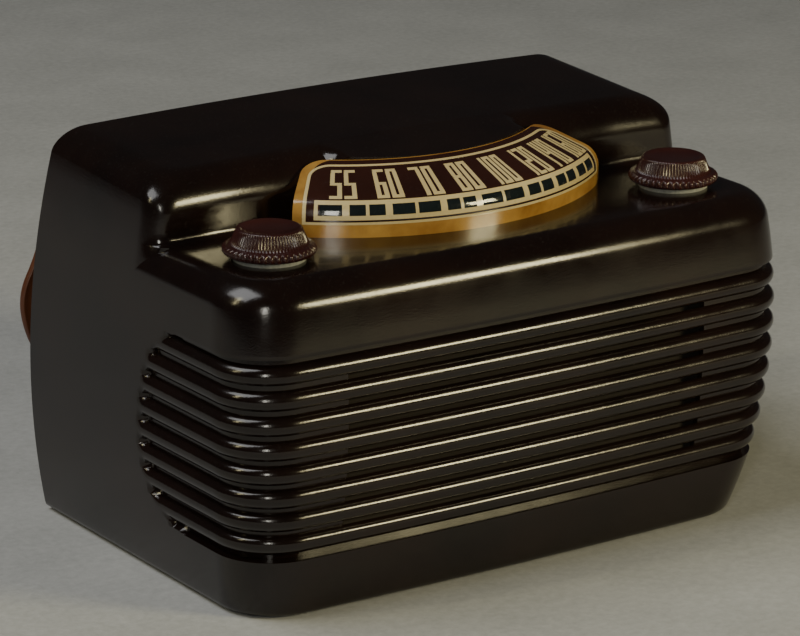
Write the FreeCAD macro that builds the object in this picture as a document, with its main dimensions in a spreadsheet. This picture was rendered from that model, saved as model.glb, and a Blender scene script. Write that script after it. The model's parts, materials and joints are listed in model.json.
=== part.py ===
import FreeCAD, Part
import math
import os
import Sketcher

# Tabletop radio: a moulded cabinet with a stepped top. The low shelf in front carries two knobs,
# and a curved dial lens joins the shelf to the high slab behind it.
# Frame: +Z up, front towards -Y, origin on the table under the middle of the cabinet.

V = FreeCAD.Vector
doc = FreeCAD.newDocument("radio")

SIZES = [
    # cabinet, outside
    ("cab_width", 254.0), ("cab_depth", 169.0), ("cab_height", 161.0), ("shelf_height", 131.5),
    ("side_round", 347.0), ("side_mid", 85.0), ("front_round", 245.0), ("front_mid", 80.0),
    ("front_bow", 2600.0), ("corner_radius", 23.8), ("shelf_edge", 10.0), ("slab_edge", 13.0),
    ("brow_setback", 74.0), ("rear_lean", 6.56), ("slab_slope", 2.86),
    ("wall", 4.2), ("rim_gap", 1.0),
    # ribs and sound slots
    ("rib_count", 8.0), ("rib_pitch", 9.55), ("rib_top", 98.6), ("valley_width", 3.4),
    ("rib_depth", 2.0), ("rib_rear", 81.2), ("rib_sweep", 27.0),
    ("slot_width", 2.0), ("slot_length", 164.0),
    # dial lens and its hollow
    ("dial_back", 135.5), ("lens_inner", 79.0), ("lens_outer", 104.0), ("lens_rise", 23.3),
    ("lens_slope", 22.8), ("lens_round", 9.0), ("lens_wall", 2.5), ("lens_half_angle", 43.0), ("scale_thick", 0.4), ("scale_gap", 0.15),
    # controls
    ("knob_spread", 186.0), ("knob_setback", 40.5), ("skirt_diameter", 35.0), ("cap_diameter", 25.0),
    ("knob_height", 10.0), ("skirt_height", 5.2), ("knob_lift", 2.0), ("shaft_diameter", 6.0),
    ("shaft_play", 0.05), ("shaft_hole", 9.0), ("felt_thick", 1.5), ("felt_diameter", 27.0),
    ("knob_notches", 36.0), ("bracket_height", 112.0), ("bracket_thick", 1.2), ("bracket_width", 30.0),
    ("pot_diameter", 24.0), ("pot_height", 11.0), ("bush_diameter", 9.5),
    # tuning drive
    ("drum_side", 63.8), ("drum_back", 7.8), ("drum_radius", 26.0), ("drive_level", 116.5),
    ("pointer_level", 136.0), ("drum_thick", 5.0), ("cord_thick", 0.8), ("pointer_sweep", 77.0),
    ("pointer_rest", 7.0), ("idler_radius", 5.0), ("idler_step", 10.0), ("rail_angle", 43.0),
    ("dial_plate_thick", 1.2), ("pointer_reach", 98.8), ("post_diameter", 6.0), ("post_x", 32.0),
    ("post_y", 27.5),
    # tuning capacitor
    ("gang_width", 46.0), ("gang_height", 60.0), ("gang_plate", 1.6),
    # chassis
    ("chassis_width", 216.0), ("chassis_depth", 88.0), ("chassis_height", 38.0),
    ("chassis_thick", 1.2), ("chassis_lift", 4.0), ("chassis_front", 60.5),
    # tubes and cans
    ("tube_pitch", 36.0), ("tube_row", 46.0), ("front_row", 6.0), ("tube_first", -90.0),
    ("glass_diameter", 29.0), ("base_diameter", 31.0), ("base_height", 14.0), ("tube_height", 74.0),
    ("socket_diameter", 34.0), ("socket_thick", 3.0), ("can_side", 35.0), ("can_height", 72.0),
    ("filter_diameter", 25.0), ("filter_height", 60.0),
    # speaker
    ("speaker_diameter", 102.0), ("speaker_height", 64.0), ("speaker_depth", 20.0),
    ("cone_diameter", 86.0), ("coil_diameter", 26.0), ("magnet_diameter", 40.0),
    ("magnet_length", 17.0), ("baffle_thick", 3.0), ("baffle_width", 196.0), ("baffle_height", 84.0),
    ("baffle_setback", 13.5), ("cloth_thick", 0.5), ("post_boss", 8.0), ("boss_spread", 180.0),
    ("boss_rise", 74.0),
    # back
    ("cover_thick", 2.5), ("cover_inset", 3.0), ("cover_play", 0.4), ("lug_side", 14.0),
    ("lug_depth", 9.0), ("screw_diameter", 3.0), ("screw_head", 7.0), ("vent_diameter", 7.0),
    ("vent_pitch", 16.0), ("loop_thick", 1.6), ("loop_band", 16.0),
    # feet
    ("foot_diameter", 16.0), ("foot_height", 2.0), ("foot_x", 92.0), ("foot_y", 58.0),
    # mains cord
    ("cord_diameter", 6.0), ("cord_exit_x", -96.0), ("cord_exit_z", 130.0), ("relief_length", 20.0),
    ("relief_diameter", 11.0), ("coil_turn_diameter", 64.0), ("coil_band", 24.0), ("coil_tall", 18.0),
    ("coil_x", 20.0), ("coil_y", 150.0),
    ("plug_length", 30.0), ("plug_width", 24.0), ("plug_thick", 13.0), ("blade_length", 17.0),
    ("blade_width", 6.4), ("blade_thick", 1.5), ("blade_spacing", 12.7),
]


def size_sheet():
    """The spreadsheet that holds every driving dimension, one alias to a row."""
    sheet = doc.addObject("Spreadsheet::Sheet", "dims")
    for row, (alias, value) in enumerate(SIZES, start=1):
        sheet.set("A%d" % row, alias)
        sheet.set("B%d" % row, repr(value))
        sheet.setAlias("B%d" % row, alias)
    doc.recompute()
    return sheet


class Size:
    """A length together with the spreadsheet expression that gives it."""

    def __init__(self, value, text):
        self.value = float(value)
        self.text = text

    def _with(self, other, sign, value):
        return Size(value, "(%s %s %s)" % (self.text, sign, text_of(other)))

    def __add__(self, other):
        return self._with(other, "+", self.value + number(other))

    def __radd__(self, other):
        return self + other

    def __sub__(self, other):
        return self._with(other, "-", self.value - number(other))

    def __mul__(self, other):
        return self._with(other, "*", self.value * number(other))

    def __truediv__(self, other):
        return self._with(other, "/", self.value / number(other))

    def __neg__(self):
        return Size(-self.value, "(0 - %s)" % self.text)


def number(item):
    return item.value if isinstance(item, Size) else float(item)


def text_of(item):
    return item.text if isinstance(item, Size) else repr(float(item))


class Sizes:
    """Every alias of the sheet as a Size, such as dim.wall."""


SHEET = size_sheet()
dim = Sizes()
for alias, _ in SIZES:
    setattr(dim, alias, Size(SHEET.get(alias), "dims." + alias))

# Places that several pieces share
HALF_WIDTH = dim.cab_width / 2
FRONT = -(dim.cab_depth / 2)
REAR = dim.cab_depth / 2
BROW = FRONT + dim.brow_setback
DIAL_Y = FRONT + dim.dial_back
KNOB_X = dim.knob_spread / 2
KNOB_Y = FRONT + dim.knob_setback
BAFFLE_Y = FRONT + dim.baffle_setback
CHASSIS_Y = FRONT + dim.chassis_front
FLOOR = dim.rim_gap + dim.wall
CHASSIS_Z = FLOOR + dim.chassis_lift
DECK = CHASSIS_Z + dim.chassis_height
RAIL_RADIUS = dim.drum_radius * 180 / dim.pointer_sweep
DRUM_LEAN = 0.7
DRUM_X = dim.drum_side + dim.drum_radius * DRUM_LEAN
DRUM_Y = dim.drum_back + dim.drum_radius * DRUM_LEAN
LAMP_X = dim.post_x / 2
LAMP_Y = DIAL_Y - RAIL_RADIUS + 16.0
NODES = {}
CLEAR = 0.3
SCREW_BITE = 2.6
FAR = 400.0


# ---------------------------------------------------------------- helpers

def bind(item, name, value):
    """Set a property, and tie it to the sheet when the value comes from there."""
    if isinstance(value, Size):
        item.setExpression(name, value.text)
    else:
        setattr(item, name, value)


def place(item, at=(0, 0, 0), axis=(0, 0, 1), angle=0.0):
    """Put an object at a point whose coordinates may come from the sheet."""
    item.Placement = FreeCAD.Placement(V(*[number(c) for c in at]),
                                       FreeCAD.Rotation(V(*axis), number(angle)))
    for name, coordinate in zip("xyz", at):
        if isinstance(coordinate, Size):
            item.setExpression("Placement.Base." + name, coordinate.text)
    return item


def cylinder(radius, height, at=(0, 0, 0), axis=(0, 0, 1), angle=0.0):
    item = doc.addObject("Part::Cylinder", "Cylinder")
    bind(item, "Radius", radius)
    bind(item, "Height", height)
    return place(item, at, axis, angle)


def box(length, width, height, at=(0, 0, 0), axis=(0, 0, 1), angle=0.0):
    """A box centred on at in X and Y, standing on it in Z."""
    item = doc.addObject("Part::Box", "Box")
    bind(item, "Length", length)
    bind(item, "Width", width)
    bind(item, "Height", height)
    corner = (-(length / 2) + at[0], -(width / 2) + at[1], at[2])
    return place(item, corner, axis, angle)


def cone(low, high, height, at=(0, 0, 0), axis=(0, 0, 1), angle=0.0):
    item = doc.addObject("Part::Cone", "Cone")
    bind(item, "Radius1", low)
    bind(item, "Radius2", high)
    bind(item, "Height", height)
    return place(item, at, axis, angle)


def cut(base, tool):
    item = doc.addObject("Part::Cut", "Cut")
    item.Base = base
    item.Tool = tool
    return item


def fuse(items):
    item = doc.addObject("Part::MultiFuse", "Fuse")
    item.Shapes = items
    return item


def group(items):
    """Separate solids that share one node, such as identical screws."""
    item = doc.addObject("Part::Compound", "Group")
    item.Links = items
    return item


def node(name, item):
    """Name a finished sub-part; its file takes the same name."""
    item.Label = name
    NODES[name] = item
    return item


def shaped(name, shape):
    """A sub-part whose shape is worked out from the sheet's values."""
    item = doc.addObject("Part::Feature", "Shaped")
    item.Shape = shape
    item.Placement = FreeCAD.Placement()
    return node(name, item)


def body(name):
    item = doc.addObject("PartDesign::Body", "Body")
    return node(name, item)


def origin_feature(owner, role):
    for feature in owner.Origin.OriginFeatures:
        if feature.Role == role:
            return feature
    raise ValueError("no origin feature " + role)


def sketch_on(owner, role, offset=0.0):
    item = owner.newObject("Sketcher::SketchObject", "Sketch")
    item.AttachmentSupport = [(origin_feature(owner, role), "")]
    item.MapMode = "FlatFace"
    item.AttachmentOffset = FreeCAD.Placement(V(0, 0, number(offset)), FreeCAD.Rotation())
    if isinstance(offset, Size):
        item.setExpression("AttachmentOffset.Base.z", offset.text)
    return item


def fix_point(sketch, line, end, x, y):
    """Hold one end of a line at a place taken from the sheet."""
    for kind, value, axis_line in (("DistanceX", x, -2), ("DistanceY", y, -1)):
        if abs(number(value)) < 1e-9:
            sketch.addConstraint(Sketcher.Constraint("PointOnObject", line, end, axis_line))
            continue
        index = sketch.addConstraint(
            Sketcher.Constraint(kind, -1, 1, line, end, number(value)))
        if isinstance(value, Size):
            sketch.setExpression("Constraints[%d]" % index, value.text)


def polygon(sketch, points):
    """A closed outline of straight lines with every corner placed from the sheet."""
    corners = [V(number(x), number(y), 0) for x, y in points]
    first = sketch.GeometryCount
    count = len(points)
    for k in range(count):
        sketch.addGeometry(Part.LineSegment(corners[k], corners[(k + 1) % count]), False)
    for k in range(count):
        follower = first + (k + 1) % count
        sketch.addConstraint(Sketcher.Constraint("Coincident", first + k, 2, follower, 1))
    for k, (x, y) in enumerate(points):
        fix_point(sketch, first + k, 1, x, y)


def circle(sketch, radius, x, y):
    index = sketch.addGeometry(
        Part.Circle(V(number(x), number(y), 0), V(0, 0, 1), number(radius)), False)
    size = sketch.addConstraint(Sketcher.Constraint("Radius", index, number(radius)))
    if isinstance(radius, Size):
        sketch.setExpression("Constraints[%d]" % size, radius.text)
    fix_point(sketch, index, 3, x, y)


def rectangle(sketch, length, width, x=0.0, y=0.0):
    x0 = -(length / 2) + x
    x1 = x0 + length
    y0 = -(width / 2) + y
    y1 = y0 + width
    polygon(sketch, [(x0, y0), (x1, y0), (x1, y1), (x0, y1)])


def pad(owner, sketch, length):
    item = owner.newObject("PartDesign::Pad", "Pad")
    item.Profile = sketch
    bind(item, "Length", length)
    doc.recompute()
    return item


def pocket(owner, sketch, depth, reverse=False):
    """A pocket, checked to take material away."""
    before = owner.Shape.Volume
    item = owner.newObject("PartDesign::Pocket", "Pocket")
    item.Profile = sketch
    item.Reversed = reverse
    bind(item, "Length", depth)
    doc.recompute()
    if owner.Shape.Volume >= before - 1e-6:
        raise ValueError("a pocket of %s cuts nothing" % owner.Label)
    return item


def revolve(owner, sketch):
    item = owner.newObject("PartDesign::Revolution", "Revolution")
    item.Profile = sketch
    item.ReferenceAxis = (sketch, ["V_Axis"])
    item.Angle = 360.0
    doc.recompute()
    return item


def turned(name, profile, at):
    """A turned piece: its half section, radius against height, spun about its own axis."""
    owner = body(name)
    sketch = sketch_on(owner, "XZ_Plane")
    polygon(sketch, profile)
    revolve(owner, sketch)
    place(owner, at)
    return owner


# ---------------------------------------------------------------- cabinet

def half_width(height):
    """Half the cabinet's width at a height: the sides are one large arc."""
    reach = number(dim.side_round)
    return number(HALF_WIDTH) - reach + math.sqrt(reach ** 2 - (height - number(dim.side_mid)) ** 2)


def front_y(height, inset=0.0):
    """The front face at a height on the centre line: another large arc."""
    reach = number(dim.front_round)
    drop = reach - math.sqrt(reach ** 2 - (height - number(dim.front_mid)) ** 2)
    return number(FRONT) + inset + drop


def sides(low, high, inset):
    """Everything between the two barrelled sides, from one height to another."""
    def arc(sign, start, end):
        middle = (start + end) / 2
        ends = [V(sign * (half_width(z) - inset), -FAR, z) for z in (start, middle, end)]
        return Part.Arc(*ends).toShape()

    right, left = arc(1, low, high), arc(-1, high, low)
    top = Part.makeLine(right.Vertexes[-1].Point, left.Vertexes[0].Point)
    base = Part.makeLine(left.Vertexes[-1].Point, right.Vertexes[0].Point)
    return Part.Face(Part.Wire([right, top, left, base])).extrude(V(0, 2 * FAR, 0))


def front_block(low, high, inset):
    """The cabinet's front half as a blank: bowed front, barrelled sides, flat top."""
    centre = (low + high) / 2
    face = [V(0, front_y(z, inset), z) for z in (low, centre, high)]
    back_low, back_high = V(0, FAR / 4, low), V(0, FAR / 4, high)
    wire = Part.Wire([Part.makeLine(back_low, face[0]), Part.Arc(*face).toShape(),
                      Part.makeLine(face[2], back_high), Part.makeLine(back_high, back_low)])
    axis_at = V(0, number(FRONT) + number(dim.front_bow), 0)
    sweep = 2 * math.degrees(number(dim.cab_width) / number(dim.front_bow))
    turned_face = Part.Face(wire).revolve(axis_at, V(0, 0, 1), sweep)
    turned_face.rotate(axis_at, V(0, 0, 1), -sweep / 2)
    return sides(low - 1.0, high, inset).common(turned_face)


def low_shape(low, high, inset, corner, edge):
    """The full-depth lower part, its upright corners and then its top edge rounded."""
    blank = front_block(low, high, inset)
    upright = [e for e in blank.Edges
               if e.BoundBox.ZLength > 0.9 * (high - low) and e.CenterOfMass.y < 0]
    blank = blank.makeFillet(corner, upright)
    rim = [e for e in blank.Edges
           if e.BoundBox.ZMin > high - 0.1 and e.BoundBox.YMin < FAR / 5]
    return blank.makeFillet(edge, rim)


def slab_height(y):
    """The slab's top surface: highest at the back edge, a little lower at the brow."""
    slope = math.tan(math.radians(number(dim.slab_slope)))
    lean = math.tan(math.radians(number(dim.rear_lean)))
    back_edge = number(REAR) - lean * number(dim.cab_height)
    return number(dim.cab_height) - slope * (back_edge - y)


def slab_shape(low, inset, edge):
    """The high part behind the brow, with its nose and its long side edges rounded."""
    start = number(BROW) + inset
    outline = [V(-FAR, start, low), V(-FAR, start, slab_height(start) - inset),
               V(-FAR, FAR / 4, slab_height(FAR / 4) - inset), V(-FAR, FAR / 4, low)]
    prism = Part.Face(Part.makePolygon(outline + outline[:1])).extrude(V(2 * FAR, 0, 0))
    blank = sides(low, number(dim.cab_height) + FAR / 40, inset).common(prism)
    rim = []
    for e in blank.Edges:
        high_edge = e.CenterOfMass.z > slab_height(start) - inset - 1.0
        runs_back = e.BoundBox.YLength > 50 and abs(e.CenterOfMass.x) > 50
        runs_across = e.BoundBox.XLength > 150 and e.CenterOfMass.y < start + 1.0
        if high_edge and (runs_back or runs_across):
            rim.append(e)
    return blank.makeFillet(edge, rim)


def envelope(inset, floor):
    """The cabinet's whole outer shape, or the same shape moved inwards by inset."""
    lower = low_shape(floor, number(dim.shelf_height) - inset, inset,
                      number(dim.corner_radius) - inset, number(dim.shelf_edge) - inset)
    upper = slab_shape(number(dim.shelf_height) / 3, inset, number(dim.slab_edge) - inset)
    return lower.fuse(upper)


def behind(distance):
    """All space behind the leaning rear plane, or behind a plane in front of it."""
    block = Part.makeBox(2 * FAR, FAR, 2 * FAR, V(-FAR, 0, -FAR))
    lean = FreeCAD.Rotation(V(1, 0, 0), number(dim.rear_lean))
    inwards = distance / math.cos(math.radians(number(dim.rear_lean)))
    block.Placement = FreeCAD.Placement(V(0, number(REAR) - inwards, 0), lean)
    return block


def rear_slice(near, far):
    """The layer between two planes that lean as the rear does, measured in from it."""
    return behind(far).cut(behind(near))


def sector(inner, outer, low, high, half_angle):
    """A piece of a flat ring about the dial's centre, symmetric about the front."""
    ring = Part.makeCylinder(outer, high - low, V(0, number(DIAL_Y), low), V(0, 0, 1), 2 * half_angle)
    ring = ring.cut(Part.makeCylinder(inner, high - low, V(0, number(DIAL_Y), low)))
    ring.rotate(V(0, number(DIAL_Y), 0), V(0, 0, 1), -90 - half_angle)
    return ring


def valley_heights():
    count = int(number(dim.rib_count)) + 1
    top = number(dim.rib_top) + number(dim.rib_pitch) / 2
    return [top - k * number(dim.rib_pitch) for k in range(count)]


def valley_end(height):
    """Where the grooves stop on the side: together the ends draw a D."""
    heights = valley_heights()
    middle = (heights[0] + heights[-1]) / 2 - number(dim.rib_pitch) / 3
    reach = (heights[0] - heights[-1]) / 2 + number(dim.rib_pitch) / 2
    u = min(1.0, abs(height - middle) / reach)
    power = 2.2
    back = 1 - (1 - u ** power) ** (1 / power)
    return number(FRONT) + number(dim.rib_rear) - number(dim.rib_sweep) * back


def valleys():
    """The grooves between the ribs, as deep all round the front and the corners."""
    core = low_shape(0.0, number(dim.shelf_height), number(dim.rib_depth),
                     number(dim.corner_radius) - number(dim.rib_depth),
                     number(dim.shelf_edge) - number(dim.rib_depth))
    tall = number(dim.valley_width)
    layers = []
    for height in valley_heights():
        back = valley_end(height)
        layer = Part.makeBox(2 * FAR, FAR, tall, V(-FAR, back - FAR, height - tall / 2))
        layers.append(layer.cut(core))
    return layers


def slots():
    """The sound slots, cut right through the front at the bottom of each groove."""
    tall, span = number(dim.slot_width), number(dim.slot_length)
    deep = number(dim.cab_depth) / 5
    return [Part.makeBox(span, deep, tall, V(-span / 2, number(FRONT) - 1.0, height - tall / 2))
            for height in valley_heights()[1:-1]]


def lug_places():
    """Corner lugs for the back cover's screws: offset from the walls at their own height."""
    side = number(dim.lug_side)
    low = number(FLOOR) + side
    high = number(dim.shelf_height) - side / 2
    return [(sign * (half_width(z) - number(dim.wall) - side / 2 + 1.0), z)
            for sign in (-1, 1) for z in (low, high)]


def across_back(x, z, radius, near, far):
    """A cylinder square to the rear plane at a place on it, between two depths."""
    lean = math.radians(number(dim.rear_lean))
    normal = V(0, math.cos(lean), math.sin(lean))
    at = V(x, number(REAR) - z * math.tan(lean), z) - normal * far
    return Part.makeCylinder(radius, far - near, at, normal)


def lugs(outer):
    side = number(dim.lug_side)
    near = number(dim.cover_inset) + number(dim.cover_thick)
    layer = rear_slice(near, near + number(dim.lug_depth))
    solids = []
    for x, z in lug_places():
        reach = side + number(dim.wall)
        start = x - side / 2 if x > 0 else x + side / 2 - reach
        block = Part.makeBox(reach, FAR, side, V(start, -FAR / 4, z - side / 2))
        solids.append(block.common(layer).common(outer))
    return solids


def chassis_pillars():
    """Short pads on the cabinet's floor that the chassis stands on, with bolt holes."""
    inset = 12.0
    x = number(dim.chassis_width) / 2 - inset
    y0 = number(CHASSIS_Y) + inset
    y1 = number(CHASSIS_Y) + number(dim.chassis_depth) - inset
    return [(sx * x, y) for sx in (-1, 1) for y in (y0, y1)]


def baffle_bosses():
    x = number(dim.boss_spread) / 2
    rise = number(dim.boss_rise) / 2
    return [(sx * x, number(dim.speaker_height) + sz * rise) for sx in (-1, 1) for sz in (-1, 1)]


def apron(roof):
    """All space under the plane that falls from the slab's nose to the lens's rear edge."""
    start, low = number(BROW) + number(dim.slab_edge), number(FLOOR)
    end = number(DIAL_Y) - number(dim.lens_inner)
    outline = [V(-FAR, start, low), V(-FAR, start, slab_height(start)), V(-FAR, end, roof),
               V(-FAR, end - 1.0, roof), V(-FAR, end - 1.0, low)]
    return Part.Face(Part.makePolygon(outline + outline[:1])).extrude(V(2 * FAR, 0, 0))


def cabinet():
    outer = envelope(0.0, number(dim.rim_gap))
    inner = envelope(number(dim.wall), number(FLOOR))
    pointer_room = 5.0
    roof = number(dim.shelf_height) + number(dim.lens_rise) + CLEAR
    boss = sector(1.0, number(dim.lens_inner) - 0.2, number(dim.shelf_height) - 1.0, FAR,
                  number(dim.lens_half_angle) - 0.5)
    outer = outer.fuse(boss.common(apron(roof)))
    hollow = sector(number(RAIL_RADIUS) - pointer_room, number(dim.lens_outer) - number(dim.lens_wall),
                    number(dim.shelf_height) - 2 * number(dim.wall), roof - number(dim.wall),
                    number(dim.lens_half_angle) - 1.0)
    window = sector(number(dim.lens_inner) - 0.2, number(dim.lens_outer) + 0.2, number(dim.shelf_height),
                    number(dim.cab_height) + 1.0, number(dim.lens_half_angle) + 0.2)
    shell = outer.cut([inner, hollow, window])
    floor_pads = [Part.makeCylinder(6.0, number(dim.chassis_lift) + 1.0, V(x, y, number(FLOOR) - 1.0))
                  for x, y in chassis_pillars()]
    boss_radius = number(dim.post_boss) / 2
    bosses = [Part.makeCylinder(boss_radius, number(BAFFLE_Y) - number(FRONT) - 2.0,
                                V(x, number(FRONT) + 2.0, z), V(0, 1, 0)).common(outer)
              for x, z in baffle_bosses()]
    shell = shell.cut(valleys() + slots())
    solid_front = [b.cut(valleys()) for b in bosses]
    shell = shell.fuse(floor_pads + lugs(outer) + solid_front)
    hole = number(dim.shaft_hole) / 2
    holes = [Part.makeCylinder(hole, number(dim.shelf_height) / 4,
                               V(s * number(KNOB_X), number(KNOB_Y), number(dim.shelf_height) - 20.0))
             for s in (-1, 1)]
    holes += [Part.makeCylinder(2.1, 20.0, V(x, y, -1.0)) for x, y in chassis_pillars()]
    holes += [across_back(x, z, 1.25, number(dim.cover_inset), number(dim.cover_inset) + 12.0)
              for x, z in lug_places()]
    holes += [Part.makeCylinder(1.25, 12.0, V(x, number(BAFFLE_Y) - SCREW_BITE - CLEAR, z), V(0, 1, 0))
              for x, z in baffle_bosses()]
    shell = shell.cut(holes + [behind(0.0)])
    shaped("cabinet", max(shell.Solids, key=lambda solid: solid.Volume))


def feet():
    x, y = dim.foot_x, dim.foot_y
    places = [(x, y), (-x, y), (x, -y), (-x, -y)]
    node("feet", group([cylinder(dim.foot_diameter / 2, dim.foot_height - 1.0, (px, py, 0.0))
                        for px, py in places]))


# ---------------------------------------------------------------- dial

def lens_section(inset, low):
    """Half section of the lens: an upright rim, a round edge and a top that rises to the rear."""
    slope = math.radians(number(dim.lens_slope))
    inner, outer = number(dim.lens_inner), number(dim.lens_outer) - inset
    rise = number(dim.lens_rise) - inset / math.cos(slope)
    base = number(dim.shelf_height)

    def top(radius):
        return V(radius, 0, base + rise - (radius - inner) * math.tan(slope))

    bend = (math.pi / 2 - slope) / 2
    edge = number(dim.lens_round) - inset
    reach = edge * math.tan(bend)
    wall_end = top(outer) - V(0, 0, reach)
    slope_end = top(outer) + V(-math.cos(slope), 0, math.sin(slope)) * reach
    middle = wall_end + V(edge * (math.cos(bend) - 1), 0, edge * math.sin(bend))
    start, foot = V(low, 0, base), V(outer, 0, base)
    edges = [Part.makeLine(start, foot), Part.makeLine(foot, wall_end),
             Part.Arc(wall_end, middle, slope_end).toShape(),
             Part.makeLine(slope_end, top(low)), Part.makeLine(top(low), start)]
    return Part.Face(Part.Wire(edges))


def dome(inset, low, half_angle):
    face = lens_section(inset, low)
    face.translate(V(0, number(DIAL_Y), 0))
    solid = face.revolve(V(0, number(DIAL_Y), 0), V(0, 0, 1), 2 * half_angle)
    solid.rotate(V(0, number(DIAL_Y), 0), V(0, 0, 1), -90 - half_angle)
    return solid


def wall_angle():
    """The angle that the lens's wall takes up at its outer edge."""
    return math.degrees(number(dim.lens_wall) / number(dim.lens_outer))


def dial_lens():
    half = number(dim.lens_half_angle)
    room = 6.0
    outer = dome(0.0, number(dim.lens_inner), half)
    inner = dome(number(dim.lens_wall), number(dim.lens_inner) - room, half - wall_angle())
    shaped("dial_lens", outer.cut(inner))


def dial_scale():
    """The printed film behind the lens."""
    half = number(dim.lens_half_angle) - 1.5 * wall_angle()
    near = number(dim.lens_wall) + number(dim.scale_gap)
    outer = dome(near, number(dim.lens_inner), half)
    inner = dome(near + number(dim.scale_thick), number(dim.lens_inner) - 1.0, half + 1.0)
    above = Part.makeBox(2 * FAR, 2 * FAR, FAR, V(-FAR, -FAR, number(dim.shelf_height) + CLEAR))
    shaped("dial_scale", outer.cut(inner).common(above))


def rail_end(sign, along):
    """A point on the line that leaves the rail's end, and the line's direction."""
    angle = math.radians(number(dim.rail_angle))
    radius = number(RAIL_RADIUS)
    end = V(sign * radius * math.sin(angle), number(DIAL_Y) - radius * math.cos(angle), 0)
    outward = V(sign * math.cos(angle), math.sin(angle), 0)
    return end + outward * along, outward


def idler_groove():
    """The radius that the cord runs at in an idler's groove."""
    return number(dim.idler_radius) - number(dim.cord_thick) - 0.2


def left_idler_at():
    """The left idler is inside the loop, so the cord's inner side runs on it."""
    point, outward = rail_end(-1, number(dim.idler_step))
    return point + V(outward.y, -outward.x, 0) * idler_groove()


def right_idler_at():
    """The right idler is outside the loop and turns the cord towards the drum."""
    point, outward = rail_end(1, number(dim.idler_step))
    away = idler_groove() + number(dim.cord_thick) + 0.1
    return point + V(outward.y, -outward.x, 0) * away


def belt_wire(wheels, level):
    """A closed loop round several wheels; a negative radius means the belt passes outside."""
    legs = []
    count = len(wheels)
    for k in range(count):
        (x0, y0, r0), (x1, y1, r1) = wheels[k], wheels[(k + 1) % count]
        reach = math.hypot(x1 - x0, y1 - y0)
        heading = math.atan2(y1 - y0, x1 - x0) - math.asin((r1 - r0) / reach)
        normal = V(-math.sin(heading), math.cos(heading), 0)
        legs.append((V(x0, y0, level) - normal * r0, V(x1, y1, level) - normal * r1, heading))
    edges = []
    for k in range(count):
        arrive, leave = legs[k - 1], legs[k]
        x, y, radius = wheels[k]
        turn = (leave[2] - arrive[2]) % (2 * math.pi)
        if radius < 0:
            turn -= 2 * math.pi
        middle = arrive[2] + turn / 2
        normal = V(-math.sin(middle), math.cos(middle), 0)
        edges.append(Part.Arc(arrive[1], V(x, y, level) - normal * radius, leave[0]).toShape())
        edges.append(Part.makeLine(leave[0], leave[1]))
    return Part.Wire(edges)


def belt(name, wheels, level):
    """A cord of square section that lies against its wheels."""
    thick = number(dim.cord_thick)
    gap = 0.02
    near = [(x, y, r + gap) for x, y, r in wheels]
    far = [(x, y, r + gap + thick) for x, y, r in wheels]
    low = level - thick / 2
    outside = Part.Face(belt_wire(far, low)).extrude(V(0, 0, thick))
    inside = Part.Face(belt_wire(near, low)).extrude(V(0, 0, thick))
    shaped(name, outside.cut(inside))


def dial_cords():
    groove = number(dim.cord_thick) + 0.2
    drum = (number(DRUM_X), number(DRUM_Y), number(dim.drum_radius) - groove)
    shaft = (number(KNOB_X), number(KNOB_Y), number(dim.shaft_diameter) / 2)
    belt("drive_cord", [shaft, drum], number(dim.drive_level))
    rail = (0.0, number(DIAL_Y), number(RAIL_RADIUS))
    right, left = right_idler_at(), left_idler_at()
    idler = idler_groove()
    outside = -idler - number(dim.cord_thick) - 0.04
    wheels = [rail, (right.x, right.y, outside), drum, (left.x, left.y, idler)]
    belt("pointer_cord", wheels, number(dim.pointer_level))


def wheel_section(radius, low, high, bore, grooves):
    """Half section of a pulley with a groove at each of the given heights."""
    deep = dim.cord_thick + 0.2
    half = dim.cord_thick / 2 + 0.25
    points = [(bore, low), (radius, low)]
    for level in grooves:
        points += [(radius, level - half), (radius - deep, level - half),
                   (radius - deep, level + half), (radius, level + half)]
    return points + [(radius, high), (bore, high)]


def idlers():
    """Two small pulleys that lead the pointer cord off the rail, each on its own pin."""
    plate_top = rail_base()
    low, high = plate_top + 1.0, dim.pointer_level + 2.5
    for name, at in (("left_idler", left_idler_at()), ("right_idler", right_idler_at())):
        pin = dim.shaft_diameter / 4
        turned(name, wheel_section(dim.idler_radius, low, high, pin + dim.shaft_play,
                                   [dim.pointer_level]), (at.x, at.y, 0.0))
    pins = []
    for at in (left_idler_at(), right_idler_at()):
        pins.append(cylinder(dim.shaft_diameter / 4, high - plate_top + 2.0, (at.x, at.y, plate_top)))
    node("idler_pins", group(pins))


def rail_base():
    """Top of the dial plate."""
    return dim.pointer_level - 4.0


def dial_plate():
    """The plate under the dial, with the curved rail that the pointer cord lies against."""
    top = number(rail_base())
    thick = number(dim.dial_plate_thick)
    rail = number(RAIL_RADIUS)
    plate_half = 62.0
    depth = 27.0
    plate = sector(rail - depth, rail, top - thick, top, plate_half)
    plate = plate.fuse(sector(rail - 2.4, rail, top, number(dim.pointer_level) + 2.6,
                              number(dim.rail_angle)))
    ear = Part.makeCylinder(6.0, thick, V(right_idler_at().x, right_idler_at().y, top - thick))
    lamp_hole = Part.makeCylinder(3.4, thick + 2.0, V(number(LAMP_X), number(LAMP_Y), top - thick - 1.0))
    shaped("dial_plate", plate.fuse(ear).cut(lamp_hole).removeSplitter())
    posts = []
    for sign in (-1, 1):
        posts.append(cylinder(dim.post_diameter / 2, rail_base() - dim.dial_plate_thick - DECK,
                              (dim.post_x * sign, dim.post_y, DECK)))
    node("dial_posts", group(posts))


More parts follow.
